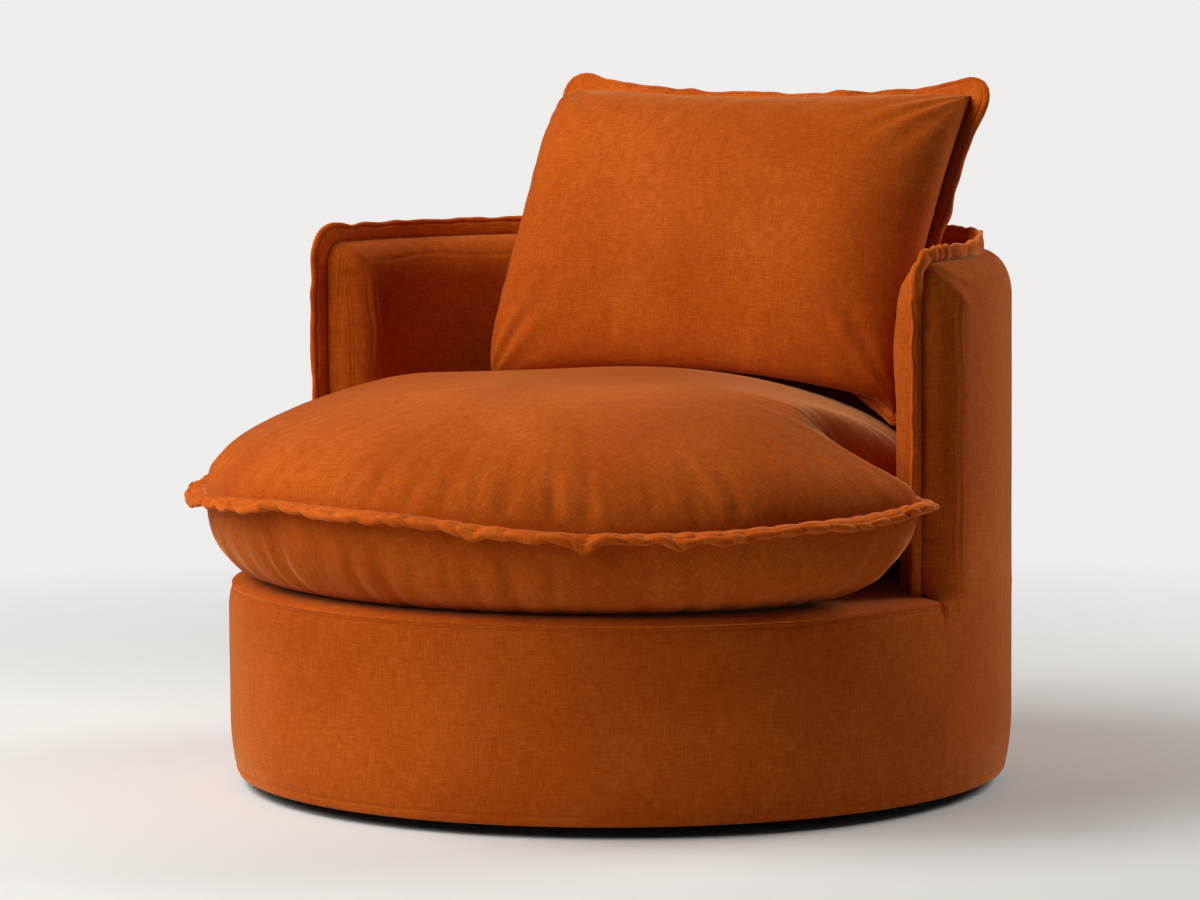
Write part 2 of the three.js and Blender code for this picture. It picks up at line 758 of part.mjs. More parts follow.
// A square pressed plate with a grooved race on the side that "up" points to.
function swivelPlate(up, withBolts) {
  const half = plateWidth / 2;
  const corner = half - plateCornerRadius;
  const shape = new THREE.Shape();
  shape.absarc(corner, -corner, plateCornerRadius, -Math.PI / 2, 0, false);
  shape.absarc(corner, corner, plateCornerRadius, 0, Math.PI / 2, false);
  shape.absarc(-corner, corner, plateCornerRadius, Math.PI / 2, Math.PI, false);
  shape.absarc(-corner, -corner, plateCornerRadius, Math.PI, 1.5 * Math.PI, false);
  shape.holes.push(roundHole(0, 0, plateBoreRadius));
  if (withBolts) {
    boltPlaces.forEach(([x, y]) => shape.holes.push(roundHole(x, y, boltRadius + boltHoleClearance)));
  }
  const plate = extrude(shape, -plateThickness, plateThickness, 2 * rollSteps);
  const race = lathe([
    [raceRadius - raceHalfWidth, -plateThickness / 2],
    [raceRadius + raceHalfWidth, -plateThickness / 2],
    [raceRadius + raceHalfWidth, raceHeight],
    [raceRadius + grooveHalfWidth, raceHeight],
    [raceRadius, raceHeight - grooveDepth],
    [raceRadius - grooveHalfWidth, raceHeight],
    [raceRadius - raceHalfWidth, raceHeight],
  ], evenAngles(lathed));
  const whole = joined([plate, race]);
  if (up) {
    return whole.translate(0, 0, lowerPlateTop);
  }
  return whole.rotateX(Math.PI).translate(0, 0, upperPlateBottom);
}

function ballRing() {
  const cage = lathe([
    [raceRadius - cageHalfWidth, -cageThickness / 2],
    [raceRadius + cageHalfWidth, -cageThickness / 2],
    [raceRadius + cageHalfWidth, cageThickness / 2],
    [raceRadius - cageHalfWidth, cageThickness / 2],
  ], evenAngles(lathed));
  const balls = Array.from({ length: ballCount }, (ignored, k) => {
    const [x, y] = onCircle(raceRadius, (2 * Math.PI * k) / ballCount, 0);
    return new THREE.SphereGeometry(ballRadius, hexSides, hexSides - 1)
      .rotateX(Math.PI / 2)
      .translate(x, y, 0);
  });
  return joined([cage, ...balls]).translate(0, 0, ballHeight);
}

function plateBolt(x, y) {
  const head = new THREE.CylinderGeometry(boltHeadRadius, boltHeadRadius, boltHeadHeight, hexSides)
    .rotateX(Math.PI / 2)
    .translate(0, 0, upperPlateBottom - fitGap - boltHeadHeight / 2);
  const bottom = upperPlateBottom - fitGap - boltHeadHeight / 2;
  const length = boardTop + boltStandout - bottom;
  const shank = new THREE.CylinderGeometry(boltRadius, boltRadius, length, smallSides)
    .rotateX(Math.PI / 2)
    .translate(0, 0, bottom + length / 2);
  return joined([head, shank]).translate(x, y, 0);
}

// A timber post between two levels, its flat back against the bent outer panel.
function post(angle, bottom, top) {
  const facet = Math.cos(Math.PI / (wallSteps + frontSteps / 2));
  const outer = Math.sqrt((panelInner * facet) ** 2 - (postWidth / 2) ** 2) - fitGap;
  const inner = liningOuter + fitGap;
  return new THREE.BoxGeometry(outer - inner, postWidth, top - bottom)
    .translate((outer + inner) / 2, 0, (top + bottom) / 2)
    .rotateZ(angle);
}

function plinth() {
  return lathe([
    [0, plinthBottom],
    [plinthRadius - glideTaper, plinthBottom],
    [plinthRadius, plinthBottom + glideTaper],
    [plinthRadius, plinthBottom + plinthThickness],
    [0, plinthBottom + plinthThickness],
  ], evenAngles(2 * lathed));
}

function glide(k) {
  const angle = (2 * Math.PI * (k + 0.5)) / glideCount + Math.PI / 2;
  const [x, y] = onCircle(plinthRadius - glideSetback, angle, 0);
  return lathe([
    [0, 0],
    [glideRadius - glideTaper, 0],
    [glideRadius, glideTaper],
    [glideRadius, glideHeight],
    [0, glideHeight],
  ], evenAngles(glideSides)).translate(x, y, 0);
}

// Seat cushion. Its outline overhangs the drum in front, has an ear ahead of each arm and narrows
// behind them to fit the barrel. It is listed from the front, round the right side.
const seatRadius = shellRadius + seatOverhang;
const seatBackRadius = innerRadius - seatBarrelGap - seatBackFlangeWidth;
const seatEarRadius = seatRadius - seatEarInset;
const seatNeckRadius = innerRadius - seatNeckInset;
const seatNeckAngle = Math.asin(seatNeckForward / seatNeckRadius);

function arcPoints(radius, from, to, steps) {
  return Array.from({ length: steps + 1 }, (ignored, k) => (
    onCircle(radius, from + ((to - from) * k) / steps, 0).slice(0, 2)
  ));
}

const seatRightSide = [
  ...arcPoints(seatRadius, -Math.PI / 2, -seatEarAngle, seatFrontSteps),
  [Math.sqrt(seatEarRadius ** 2 - seatEarForward ** 2), -seatEarForward],
  [(seatEarRadius + seatNeckRadius) / 2, -(seatEarForward + seatNeckForward) / 2],
  [seatNeckRadius * Math.cos(seatNeckAngle), -seatNeckForward],
  ...arcPoints(seatBackRadius, -seatNeckAngle / 2, Math.PI / 2, seatBackSteps),
];
const seatOutline = [
  ...seatRightSide,
  ...seatRightSide.slice(1, -1).reverse().map(([x, y]) => [-x, y]),
];

function seatSeamHeight(y) {
  const back = Math.min(1, (y + seatRadius) / (seatRadius - seatNeckForward));
  return seatSeamFront + seatSeamRise * back * back;
}

function outlineNormals(outline) {
  const count = outline.length;
  return outline.map((ignored, k) => {
    const [px, py] = outline[(k + count - 1) % count];
    const [nx, ny] = outline[(k + 1) % count];
    return unit([ny - py, px - nx]);
  });
}

function unit(vector) {
  const length = Math.hypot(...vector);
  return vector.map((value) => value / length);
}

const seatNormals = outlineNormals(seatOutline);

// A point of the plan on one of the columns that fan out from the cushion's middle to its seam,
// "inset" in from there. Share 1 is the seam, 0 the middle.
function seatPlan(column, share, inset) {
  const [x, y] = seatOutline[column].map((value, axis) => value - seatNormals[column][axis] * inset);
  return [x * share, (y + seatFanForward) * share - seatFanForward];
}

const seatBase = deckHeight + looseGap;
const seatTopShares = [1, 0.95, 0.84, 0.66, 0.4, 0];
const seatBottomShares = [1, 0.965, 0.89, 0.75, 0];

// How far a point of the plan lies from the seam.
function seamDistance(x, y) {
  const distances = seatOutline.map(([ax, ay], k) => {
    const [bx, by] = seatOutline[(k + 1) % seatOutline.length];
    const [dx, dy] = [bx - ax, by - ay];
    const along = ((x - ax) * dx + (y - ay) * dy) / (dx * dx + dy * dy);
    const share = Math.min(1, Math.max(0, along));
    return Math.hypot(x - ax - share * dx, y - ay - share * dy);
  });
  return Math.min(...distances);
}

// Height of the cushion's top or bottom skin, or of a layer "inset" under it.
function seatHeight(x, y, upper, inset) {
  const lip = lipGap + clothThickness - inset;
  const seam = seatSeamHeight(y);
  const [roll, power] = upper ? [seatTopRoll, seatTopPower] : [seatBottomRoll, seatBottomPower];
  const fullness = Math.sqrt(1 - Math.max(0, 1 - seamDistance(x, y) / roll) ** power);
  const edge = upper ? seam + lip : seam - lip;
  const far = upper ? seatCrownHeight - inset : seatBase + inset;
  return edge + (far - edge) * fullness;
}

function seatPoint(column, share, upper, inset) {
  return [...seatPlan(column, share, inset), seatHeight(...seatPlan(column, share, 0), upper, inset)];
}

function seatPanel(upper) {
  const shares = upper ? seatTopShares : seatBottomShares;
  return sheetSolid({
    columns: seatOutline.length,
    rows: shares.length - 1,
    wrap: true,
    front: (i, j) => seatPoint(i, shares[j], upper, 0),
    back: (i, j) => seatPoint(i, shares[j], upper, clothThickness),
  });
}

// The filling follows the skins, drawn in a little.
function seatCore() {
  const corePoint = (upper) => (i, j) => {
    const shares = upper ? seatTopShares.slice(1) : seatBottomShares;
    const drawnIn = clothThickness + (coreInset - clothThickness) * shares[j] ** coreInsetPower;
    const height = seatHeight(...seatPlan(i, shares[j], 0), upper, clothThickness + looseGap);
    return [...seatPlan(i, shares[j], drawnIn), height];
  };
  return sheetSolid({
    columns: seatOutline.length,
    rows: seatBottomShares.length - 1,
    wrap: true,
    front: corePoint(true),
    back: corePoint(false),
  });
}

// A flange round a closed seam: the path gives each step's place, its outward direction, the width
// there and the direction across the cloth.
function loopFlange(path, ruffleHeight) {
  const layer = (side) => (i, j) => {
    const { place, out, width, across } = path[i];
    const reach = j === 0 ? -flangeTuck : width;
    const wave = j === 0 ? 0 : ruffleHeight * Math.sin((2 * Math.PI * i) / ruffleSteps);
    const lift = wave + (side * flangeThickness) / 2;
    return place.map((value, axis) => value + out[axis] * reach + across[axis] * lift);
  };
  return sheetSolid({ columns: path.length, rows: 1, wrap: true, front: layer(1), back: layer(-1) });
}

// Walk a closed outline in equal steps; each stop keeps its share of the way between two corners.
function walk(outline, stepLength) {
  const lengths = outline.map(([x, y], k) => {
    const [nx, ny] = outline[(k + 1) % outline.length];
    return Math.hypot(nx - x, ny - y);
  });
  const total = lengths.reduce((sum, length) => sum + length, 0);
  const count = 2 * ruffleSteps * Math.round(total / stepLength / 2 / ruffleSteps);
  const stops = [];
  let corner = 0;
  let passed = 0;
  for (let k = 0; k < count; k += 1) {
    const distance = (total * k) / count;
    while (distance > passed + lengths[corner]) {
      passed += lengths[corner];
      corner += 1;
    }
    stops.push({ corner, share: (distance - passed) / lengths[corner] });
  }
  return stops;
}

const between = (a, b, share) => a.map((value, axis) => value + (b[axis] - value) * share);

function seatFlange() {
  const count = seatOutline.length;
  const seatRises = seatOutline.map(([, y]) => seatSeamHeight(y));
  const widths = seatOutline.map(([x, y]) => {
    const reach = Math.hypot(x, y);
    if (y < -seatNeckForward && reach > (seatEarRadius + seatNeckRadius) / 2 + seatEarInset) {
      return seatFlangeWidth;
    }
    return reach > seatBackRadius + fitGap ? seatSideFlangeWidth : seatBackFlangeWidth;
  });
  const path = walk(seatOutline, seatRuffleLength / ruffleSteps).map(({ corner, share }) => {
    const next = (corner + 1) % count;
    const [x, y] = between(seatOutline[corner], seatOutline[next], share);
    const [rise] = between([seatRises[corner]], [seatRises[next]], share);
    return {
      place: [x, y, rise],
      out: [...unit(between(seatNormals[corner], seatNormals[next], share)), 0],
      width: widths[corner] + (widths[next] - widths[corner]) * share,
      across: [0, 0, 1],
    };
  });
  return loopFlange(path, seatRuffleHeight);
}

// Back cushion, in the frame of its leaning seam plane: u and v run from -1 to 1 across and up it.
const backRestDepth = innerRadius * backRestDepthShare;
const backBarrelHalf = Math.sqrt((innerRadius - backWallGap) ** 2 - backRestDepth ** 2);
const backHalfWidth = (backBarrelHalf - backFlangeWidth) / (1 - backSidePullShare);
const backUp = [0, Math.sin(backLean), Math.cos(backLean)];
const backForward = [0, -Math.cos(backLean), Math.sin(backLean)];
const backCentre = [
  0,
  backRestDepth + backCentreRise * Math.sin(backLean),
  frameTop + backCentreRise * Math.cos(backLean),
];

function backPlace(x, v, w, drop) {
  return [x, 0, 0].map((value, axis) => (
    value + backCentre[axis] + backUp[axis] * v + backForward[axis] * w - (axis === 2 ? drop : 0)
  ));
}

function backOutline(u, v) {
  const pull = v > 0 ? backTopPullShare : backBottomPullShare;
  const power = v > 0 ? 2 : 3;
  return [
    backHalfWidth * u * (1 - backSidePullShare * (1 - v * v)),
    backHalfHeight * v * (1 - pull * (1 - Math.abs(u) ** power)),
  ];
}

// A point of the front or rear skin, or of a layer "inset" under it and drawn in at the seam.
function backPoint(u, v, ahead, inset, drawnIn) {
  const [x, flatUp] = backOutline(u, v);
  const below = Math.max(0, -v) ** backTuckPower * (1 - Math.abs(u) ** backEdgePower);
  const tuck = ahead ? 1 + backTuckShare * below : 1;
  const inX = inset * u + drawnIn * Math.sign(u) * Math.abs(u) ** coreInsetPower;
  const inUp = inset * v * tuck + 2 * drawnIn * Math.sign(v) * Math.abs(v) ** coreInsetPower;
  const crown = ahead ? backFrontBulge : backRearBulge;
  const lip = lipGap + clothThickness;
  const swell = Math.sqrt((1 - Math.abs(u) ** backBulgePower) * (1 - Math.abs(v) ** backBulgePower));
  const w = lip - inset + (crown - lip) * swell;
  const sag = ahead ? 4 * backSag * swell * (1 - swell) * Math.max(0, -v) * (1 - u ** 4) : 0;
  return [x - inX, flatUp - inUp - sag, ahead ? w : -w];
}

const cushionGrid = (cells, k) => Math.sin((Math.PI / 2) * ((2 * k) / cells - 1));

// Steps round the back cushion's seam: the place in the seam plane, the way out and the width there.
function backFlangePath() {
  const side = Array.from({ length: backCells }, (ignored, k) => cushionGrid(backCells, k));
  const half = [...side.map((u) => [u, -1]), ...side.map((v) => [1, v])];
  const whole = [...half, ...half.map(([u, v]) => [-u, -v])];
  const outline = whole.map(([u, v]) => backOutline(u, v));
  const normals = outlineNormals(outline);
  return walk(outline, backRuffleLength / ruffleSteps).map(({ corner, share }) => {
    const next = (corner + 1) % outline.length;
    const [u, v] = between(whole[corner], whole[next], share);
    const nearCorner = (Math.abs(u) * Math.abs(v)) ** backEdgePower;
    const nearBottom = Math.max(0, -v) ** backEdgePower;
    const width = backFlangeWidth + backCornerReach * nearCorner;
    return {
      seam: between(outline[corner], outline[next], share),
      away: unit(between(normals[corner], normals[next], share)),
      width: width + (backBottomFlangeWidth - width) * nearBottom,
    };
  });
}

// How far the back cushion drops until it rests on the seat cushion: the least height of any of its
// points over the seat's top, less the gap that cushions keep.
const backDrop = (() => {
  const heights = [];
  const test = (x, v, w) => {
    const [px, py, pz] = backPlace(x, v, w, 0);
    heights.push(pz - seatHeight(px, py, true, 0));
  };
  for (let i = 0; i <= backCells; i += 1) {
    for (let j = 0; j <= backCells; j += 1) {
      const [u, v] = [cushionGrid(backCells, i), cushionGrid(backCells, j)];
      test(...backPoint(u, v, true, 0, 0));
      test(...backPoint(u, v, false, 0, 0));
    }
  }
  backFlangePath().forEach(({ seam, away, width }) => {
    const [x, v] = seam.map((value, axis) => value + away[axis] * width);
    test(x, v, flangeThickness / 2 + backRuffleHeight);
    test(x, v, -flangeThickness / 2 - backRuffleHeight);
  });
  return Math.min(...heights) - looseGap + backSettle;
})();

function backLayer(ahead, inset, drawnIn) {
  return (i, j) => {
    const [u, v] = [cushionGrid(backCells, i), cushionGrid(backCells, j)];
    return backPlace(...backPoint(u, v, ahead, inset, drawnIn), backDrop);
  };
}

function backPanel(ahead) {
  return sheetSolid({
    columns: backCells,
    rows: backCells,
    front: backLayer(ahead, 0, 0),
    back: backLayer(ahead, clothThickness, 0),
  });
}

function backFilling() {
  const inset = clothThickness + looseGap;
  return sheetSolid({
    columns: backCells,
    rows: backCells,
    front: backLayer(true, inset, coreInset),
    back: backLayer(false, inset, coreInset),
  });
}

function backFlange() {
  const path = backFlangePath().map(({ seam, away, width }) => ({
    place: backPlace(...seam, 0, backDrop),
    out: backUp.map((value, axis) => value * away[1] + (axis === 0 ? away[0] : 0)),
    width,
    across: backForward,
  }));
  return loopFlange(path, backRuffleHeight);
}

// Floor base
add('plinth_board', plinth(), blackPaint);
for (let k = 0; k < glideCount; k += 1) {
  add(`glide_${k + 1}`, glide(k), nylon);
}
add('lower_swivel_plate', swivelPlate(true, false), zincSteel);
add('ball_ring', ballRing(), zincSteel);

// Turning frame
add('upper_swivel_plate', swivelPlate(false, true), zincSteel);
boltPlaces.forEach(([x, y], k) => add(`plate_bolt_${k + 1}`, plateBolt(x, y), zincSteel));
add('base_board', baseBoard(), plywood);
basePostShares.forEach((share, k) => {
  add(`base_post_${k + 1}`, post(2 * Math.PI * share, boardTop + fitGap, seatRingBottom - fitGap), plywood);
});
add('seat_ring', seatRing(), plywood);
wallPostShares.forEach((share, k) => {
  const angle = wallStart + (share * wallLength) / seamRadius;
  const top = frameTop - topRailThickness - fitGap;
  add(`wall_post_${k + 1}`, post(angle, seatRingTop + fitGap, top), plywood);
});
add('top_rail', arcBand(
  frameAngles,
  false,
  [liningOuter + fitGap, panelInner - fitGap],
  [frameTop - topRailThickness, frameTop],
), plywood);
add('drum_panel', arcBand(
  shellAngles,
  true,
  [panelInner, panelOuter],
  [panelFloorClearance, deckPadBottom - fitGap],
), hardboard);
add('wall_outer_panel', arcBand(
  frameAngles,
  false,
  [panelInner, panelOuter],
  [deckPadBottom, frameTop],
), hardboard);
add('wall_inner_panel', arcBand(
  frameAngles,
  false,
  [paddingOuter + fitGap, liningOuter],
  [seatRingTop + fitGap, frameTop],
), hardboard);
add('dust_cover', arcBand(
  shellAngles,
  true,
  [cambricInner, panelInner - cambricInset],
  [boardBottom - fitGap - cambricThickness, boardBottom - fitGap],
), cambric);

// Seat springs
for (let k = 0; k < springCount; k += 1) {
  const x = springSpacing * (k - (springCount - 1) / 2);
  add(`zigzag_spring_${k + 1}`, wire(springLine(x), wireRadius, wireSides), springSteel);
  add(`front_clip_${k + 1}`, springClip(x, -1), zincSteel);
  add(`rear_clip_${k + 1}`, springClip(x, 1), zincSteel);
}
add('spring_sheet', springSheet(), hessian);

// Padding and covers
add('deck_pad', deckPad(), foam);
add('deck_cover', deckCover(), velvetDeep);
add('inner_padding', arcBand(
  frameAngles,
  false,
  [innerRadius + underCloth, paddingOuter],
  [seatRingTop + fitGap, (seatRingTop + frameTop) / 2, frameTop],
), foam);
add('edge_roll', edgeRoll(), foam);
add('outer_wadding', outerWadding(), wadding);
add('outer_cover', outerCover(), velvet);
add('inner_cover', innerCover(), velvet);
add('wall_flange', wallFlange(), velvetDeep);

// Cushions
add('seat_core', seatCore(), foam);
add('seat_top_panel', seatPanel(true), velvet);
add('seat_bottom_panel', seatPanel(false), velvet);
add('seat_flange', seatFlange(), velvetDeep);
add('back_filling', backFilling(), wadding);
add('back_front_panel', backPanel(true), velvet);
add('back_rear_panel', backPanel(false), velvet);
add('back_flange', backFlange(), velvetDeep);

export default chair;
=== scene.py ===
"""Looks of a round swivel cuddle chair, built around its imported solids.

Lengths in the functions are millimetres about the swivel axis, as the part was drawn; placed() turns
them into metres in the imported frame. Angles are radians unless a comment says degrees.
"""

import json
import math

import bmesh
import bpy
import numpy as np
from bpy.props import FloatProperty, FloatVectorProperty, PointerProperty
from bpy.types import Operator, Panel, PropertyGroup
from mathutils import Matrix, Vector


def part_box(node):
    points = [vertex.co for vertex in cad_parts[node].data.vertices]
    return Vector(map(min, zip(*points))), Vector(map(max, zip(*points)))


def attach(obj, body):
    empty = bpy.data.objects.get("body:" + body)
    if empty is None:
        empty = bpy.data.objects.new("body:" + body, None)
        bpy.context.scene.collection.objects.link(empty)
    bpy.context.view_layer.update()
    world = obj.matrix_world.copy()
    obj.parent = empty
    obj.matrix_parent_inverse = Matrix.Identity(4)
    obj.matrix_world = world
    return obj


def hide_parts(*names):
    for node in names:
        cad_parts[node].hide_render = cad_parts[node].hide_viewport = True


bl_info = {
    "name": "Cuddle Chair",
    "version": (1, 0, 0),
    "blender": (4, 5, 0),
    "location": "View3D > Sidebar > Cuddle Chair",
    "description": "Dresses the solids of a round swivel cuddle chair in cloth, timber and steel",
    "category": "Object",
}

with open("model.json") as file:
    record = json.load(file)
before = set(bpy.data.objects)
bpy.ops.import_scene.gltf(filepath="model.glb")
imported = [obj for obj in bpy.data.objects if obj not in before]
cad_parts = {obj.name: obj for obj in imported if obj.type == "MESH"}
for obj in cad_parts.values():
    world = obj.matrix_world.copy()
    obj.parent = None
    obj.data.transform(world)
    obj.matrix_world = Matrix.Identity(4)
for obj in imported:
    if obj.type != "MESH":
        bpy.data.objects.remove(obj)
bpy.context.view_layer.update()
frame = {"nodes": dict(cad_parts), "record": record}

AXIS_Y = 26.5                    # the swivel axis stands this far behind the frame's origin
SHELL = 500.0                    # radius over the outer cloth
INNER = 410.0                    # radius of the barrel's lining
SEAM = 461.0                     # radius of the seam along the wall's top
SEAM_TOP = 672.0
SEAM_CORNER = 24.0
ROLL = 56.0                      # length over which the wall's skins roll in to the seam
CORNER_BLEND = (5.0, 2.6)        # squareness of the roll's corner at the seam, and further in
LINING_PUFF = (7.0, 14.0)        # puff of the lining behind an arm's front, beside and above the seat
ARM_FORWARD = 17.0               # the arms' fronts stand this far ahead of the axis
DECK = 262.0
DECK_SEAM = 255.0
DECK_STITCH = 250.6
DECK_EDGE_RISE = 30.0
DECK_EDGE_INSET = 5.0
DECK_ROUND = 40.0
DECK_DROP = 7.2
HEM = 15.0
HEM_TUCK = 9.0
HEM_RISE = 75.0
HEM_STITCH = 27.0
LIP = 3.1                        # from a seam's middle to the cloth beside its flange
CLOTH = 2.5
CLEAR = 0.8                      # the deck's edge stays this far off the lining and the arms' fronts
WALL_START = -math.asin(ARM_FORWARD / SEAM)
WALL_LENGTH = SEAM * (math.pi - 2 * WALL_START)
ROPE_CREASES = (-62, -30, 2, 20, 36, 48, 66, 118, 178)     # along the right arm's top

SEAT_RADIUS = 527.0
SEAT_EAR_ANGLE = 0.215
SEAT_EAR = (514.0, 92.0)         # radius and how far ahead of the axis
SEAT_NECK = (405.0, 70.0)
SEAT_BACK = 385.0
SEAT_SEAM = (364.0, 24.0)        # height in front, and its rise to the ears
SEAT_LIFT = (-9.0, 29.0, 22.0)   # degrees round from the front, reach in degrees, and height
SEAT_EAR_PINCH = (0.46, 140.0)   # share of the fullness lost at an ear's tip, and its reach
SEAT_BRIDGE = (0.42, 80.0)       # turn up to which the dome bridges the neck, and from what depth in
SEAT_FAN = 180.0
SEAT_CROWN = 519.0
SEAT_BASE = 262.8
SEAT_TOP_ROLL = (300.0, 1.45)    # length and power
SEAT_BOTTOM_ROLL = (150.0, 3.9)
SEAT_FLANGE = (26.0, 8.0, 16.0)  # width in front, beside the arms and behind
SEAT_DIPS = (                    # degrees round from the right, and how far the flange droops there
    (-59.5, 13.0), (-47.5, 12.0), (-88, 5.0), (-74, 4.0), (-118, 5.0), (-134, 4.0),
)

BACK_HALF_WIDTH = 309.3
BACK_HALF_HEIGHT = 221.0
BACK_LEAN = 0.443
BACK_CENTRE = (0.0, 262.56, 663.68)
BACK_FRONT = 118.0
BACK_REAR = 88.0
BACK_SAG = 60.0
BACK_SIDE_POWERS = (7.0, 3.0)    # front, rear
BACK_BULGE = 24.0                # how far the front swells out sideways, ahead of its seam
BACK_DIP = (0.065, 0.36)         # how far the top and the bottom seam are pulled in between corners
BACK_CELLS = 119
BACK_UP = np.array([0, math.sin(BACK_LEAN), math.cos(BACK_LEAN)])
BACK_AHEAD = np.array([0, -math.cos(BACK_LEAN), math.sin(BACK_LEAN)])

DUST_OPENING = 216.0             # radius of the hole round the swivel


def placed(points):
    """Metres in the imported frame: the points over 1000, moved back to the swivel axis."""
    return (points + np.array([0.0, AXIS_Y, 0.0])) / 1000.0


# Surfaces

def grid_piece(name, points, uv, wrap=False, keep=None):
    """A mesh from a grid of points of rows by columns, its UV in metres.

    wrap joins the last column to the first, where the UV has one column more than the points. keep is
    a mask of the cells that have a face. Points at one place, as at a pole, are merged by the caller.
    """
    rows, columns = points.shape[0] - 1, uv.shape[1] - 1
    across = points.shape[1]
    j, i = np.meshgrid(np.arange(rows), np.arange(columns), indexing="ij")
    on = (i + 1) % across if wrap else i + 1
    here, above = j * across, (j + 1) * across
    corners = np.stack([here + i, here + on, above + on, above + i], -1)
    charts = np.stack([uv[:-1, :-1], uv[:-1, 1:], uv[1:, 1:], uv[1:, :-1]], 2)
    if keep is None:
        keep = np.ones((rows, columns), bool)
    corners, charts = corners[keep], charts[keep]
    used, renamed = np.unique(corners, return_inverse=True)
    mesh = bpy.data.meshes.new(name)
    mesh.from_pydata(placed(points.reshape(-1, 3)[used]), [], renamed.reshape(corners.shape))
    layer = mesh.uv_layers.new(name="UVMap")
    layer.data.foreach_set("uv", (charts / 1000.0).astype(np.float32).ravel())
    mesh.polygons.foreach_set("use_smooth", np.ones(len(mesh.polygons), bool))
    piece = bpy.data.objects.new(name, mesh)
    bpy.context.scene.collection.objects.link(piece)
    return piece


def merged(piece, distance=1e-5, closed=True):
    """Joins the points that lie at one place, such as the rim of a pole, and turns the faces of a
    closed form outwards."""
    form = bmesh.new()
    form.from_mesh(piece.data)
    bmesh.ops.remove_doubles(form, verts=form.verts, dist=distance)
    if closed:
        bmesh.ops.recalc_face_normals(form, faces=form.faces)
    form.to_mesh(piece.data)
    form.free()
    return piece


def joined(name, pieces):
    """Several meshes made one."""
    first = pieces[0]
    with bpy.context.temp_override(active_object=first, selected_editable_objects=pieces):
        bpy.ops.object.join()
    first.name = first.data.name = name
    return first


def thickened(piece, thickness):
    """A cloth's thickness, laid under its face."""
    solid = piece.modifiers.new("cloth", "SOLIDIFY")
    solid.thickness = thickness / 1000.0
    solid.offset = -1.0
    solid.use_even_offset = False
    return piece


def finished(piece, material, body, slot, *nodes):
    """Gives the piece its material and its CAD body, and hides the CAD nodes it stands for. slot is not
    used.
    """
    piece.data.materials.append(material)
    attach(piece, body)
    if nodes:
        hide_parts(*nodes)
    return piece


def round_axis(turn, radius, height):
    """Points at their turn and radius about the swivel axis, and their height."""
    return np.stack(np.broadcast_arrays(radius * np.cos(turn), radius * np.sin(turn), height), -1)


def closed_chart(points):
    """A flat chart of a disc or ring: its plan, with the first column again after the last."""
    return np.concatenate([points, points[:, :1]], axis=1)[..., :2]


def arc_lengths(points, axis):
    """Running length along one direction of a grid of points."""
    steps = np.linalg.norm(np.diff(points, axis=axis), axis=-1)
    zero = np.zeros_like(np.take(steps, [0], axis=axis))
    return np.concatenate([zero, np.cumsum(steps, axis=axis)], axis=axis)


def normals_of(points):
    """Unit normals of a grid closed along its rows: the cross product of its differences."""
    along = np.roll(points, -1, axis=1) - np.roll(points, 1, axis=1)
    cross = np.cross(along, np.gradient(points, axis=0))
    return cross / np.maximum(np.linalg.norm(cross, axis=-1, keepdims=True), 1e-9)


def unit(vectors):
    """Vectors made one long."""
    return vectors / np.linalg.norm(vectors, axis=-1, keepdims=True)


def resampled(path, step, loop=True):
    """Points at even steps along a path."""
    line = np.concatenate([path, path[:1]]) if loop else path
    run = np.concatenate([[0], np.cumsum(np.linalg.norm(np.diff(line, axis=0), axis=-1))])
    count = max(8, round(run[-1] / step))
    at = np.linspace(0, run[-1], count + 1)
    at = at[:-1] if loop else at
    return np.stack([np.interp(at, run, line[:, axis]) for axis in range(line.shape[1])], -1)


def smoothed(values, reach, loop=True):
    """Running mean of a list of numbers or vectors by a bell curve over so many steps."""
    k = np.arange(-3 * reach, 3 * reach + 1)
    weights = bell(k, 0, reach)
    weights = weights / weights.sum()
    columns = values if values.ndim > 1 else values[:, None]
    padded = np.pad(columns, [(len(k) // 2,) * 2, (0, 0)], mode="wrap" if loop else "edge")
    smooth = np.stack([np.convolve(column, weights, "valid") for column in padded.T], -1)
    return smooth if values.ndim > 1 else smooth[:, 0]


# Curves and folds

def bell(x, middle, reach, power=2):
    """1 at the middle, dying away to either side over the reach, with a flatter top at a higher
    power."""
    return np.exp(-np.abs((x - middle) / reach) ** power)


def fading(x, reach):
    """Dies away from 1 over the reach."""
    return np.exp(-x / reach)


def rising(x, middle, width):
    """From 0 to 1 past the middle, over a few widths."""
    return 1 / (1 + np.exp(-(x - middle) / width))


def eased(x):
    """x held between 0 and 1, flat at either end."""
    x = np.clip(x, 0, 1)
    return x * x * (3 - 2 * x)


def ripple(t, period, seed, loop=None):
    """Uneven waves from -1 to 1 along t: five sines near one period with phases from a seed. Round a
    closed path of length loop each sine has a whole number of waves."""
    draw = np.random.default_rng(seed)
    total = np.zeros_like(t)
    weights = (1.0, 0.8, 0.7, 0.5, 0.4)
    for weight, share in zip(weights, (1.0, 0.77, 1.31, 1.83, 0.52)):
        waves = share / period
        if loop:
            waves = max(1, round(waves * loop)) / loop
        total = total + weight * np.sin(2 * np.pi * (waves * t + draw.random()))
    return total / sum(weights)


def places_along(length, least, most, seed):
    """Places along a length, between least and most apart, drawn from a seed."""
    draw = np.random.default_rng(seed)
    gaps = draw.uniform(least, most, int(length / least) + 2)
    spots = np.cumsum(gaps)
    return spots[spots < length - least / 2]


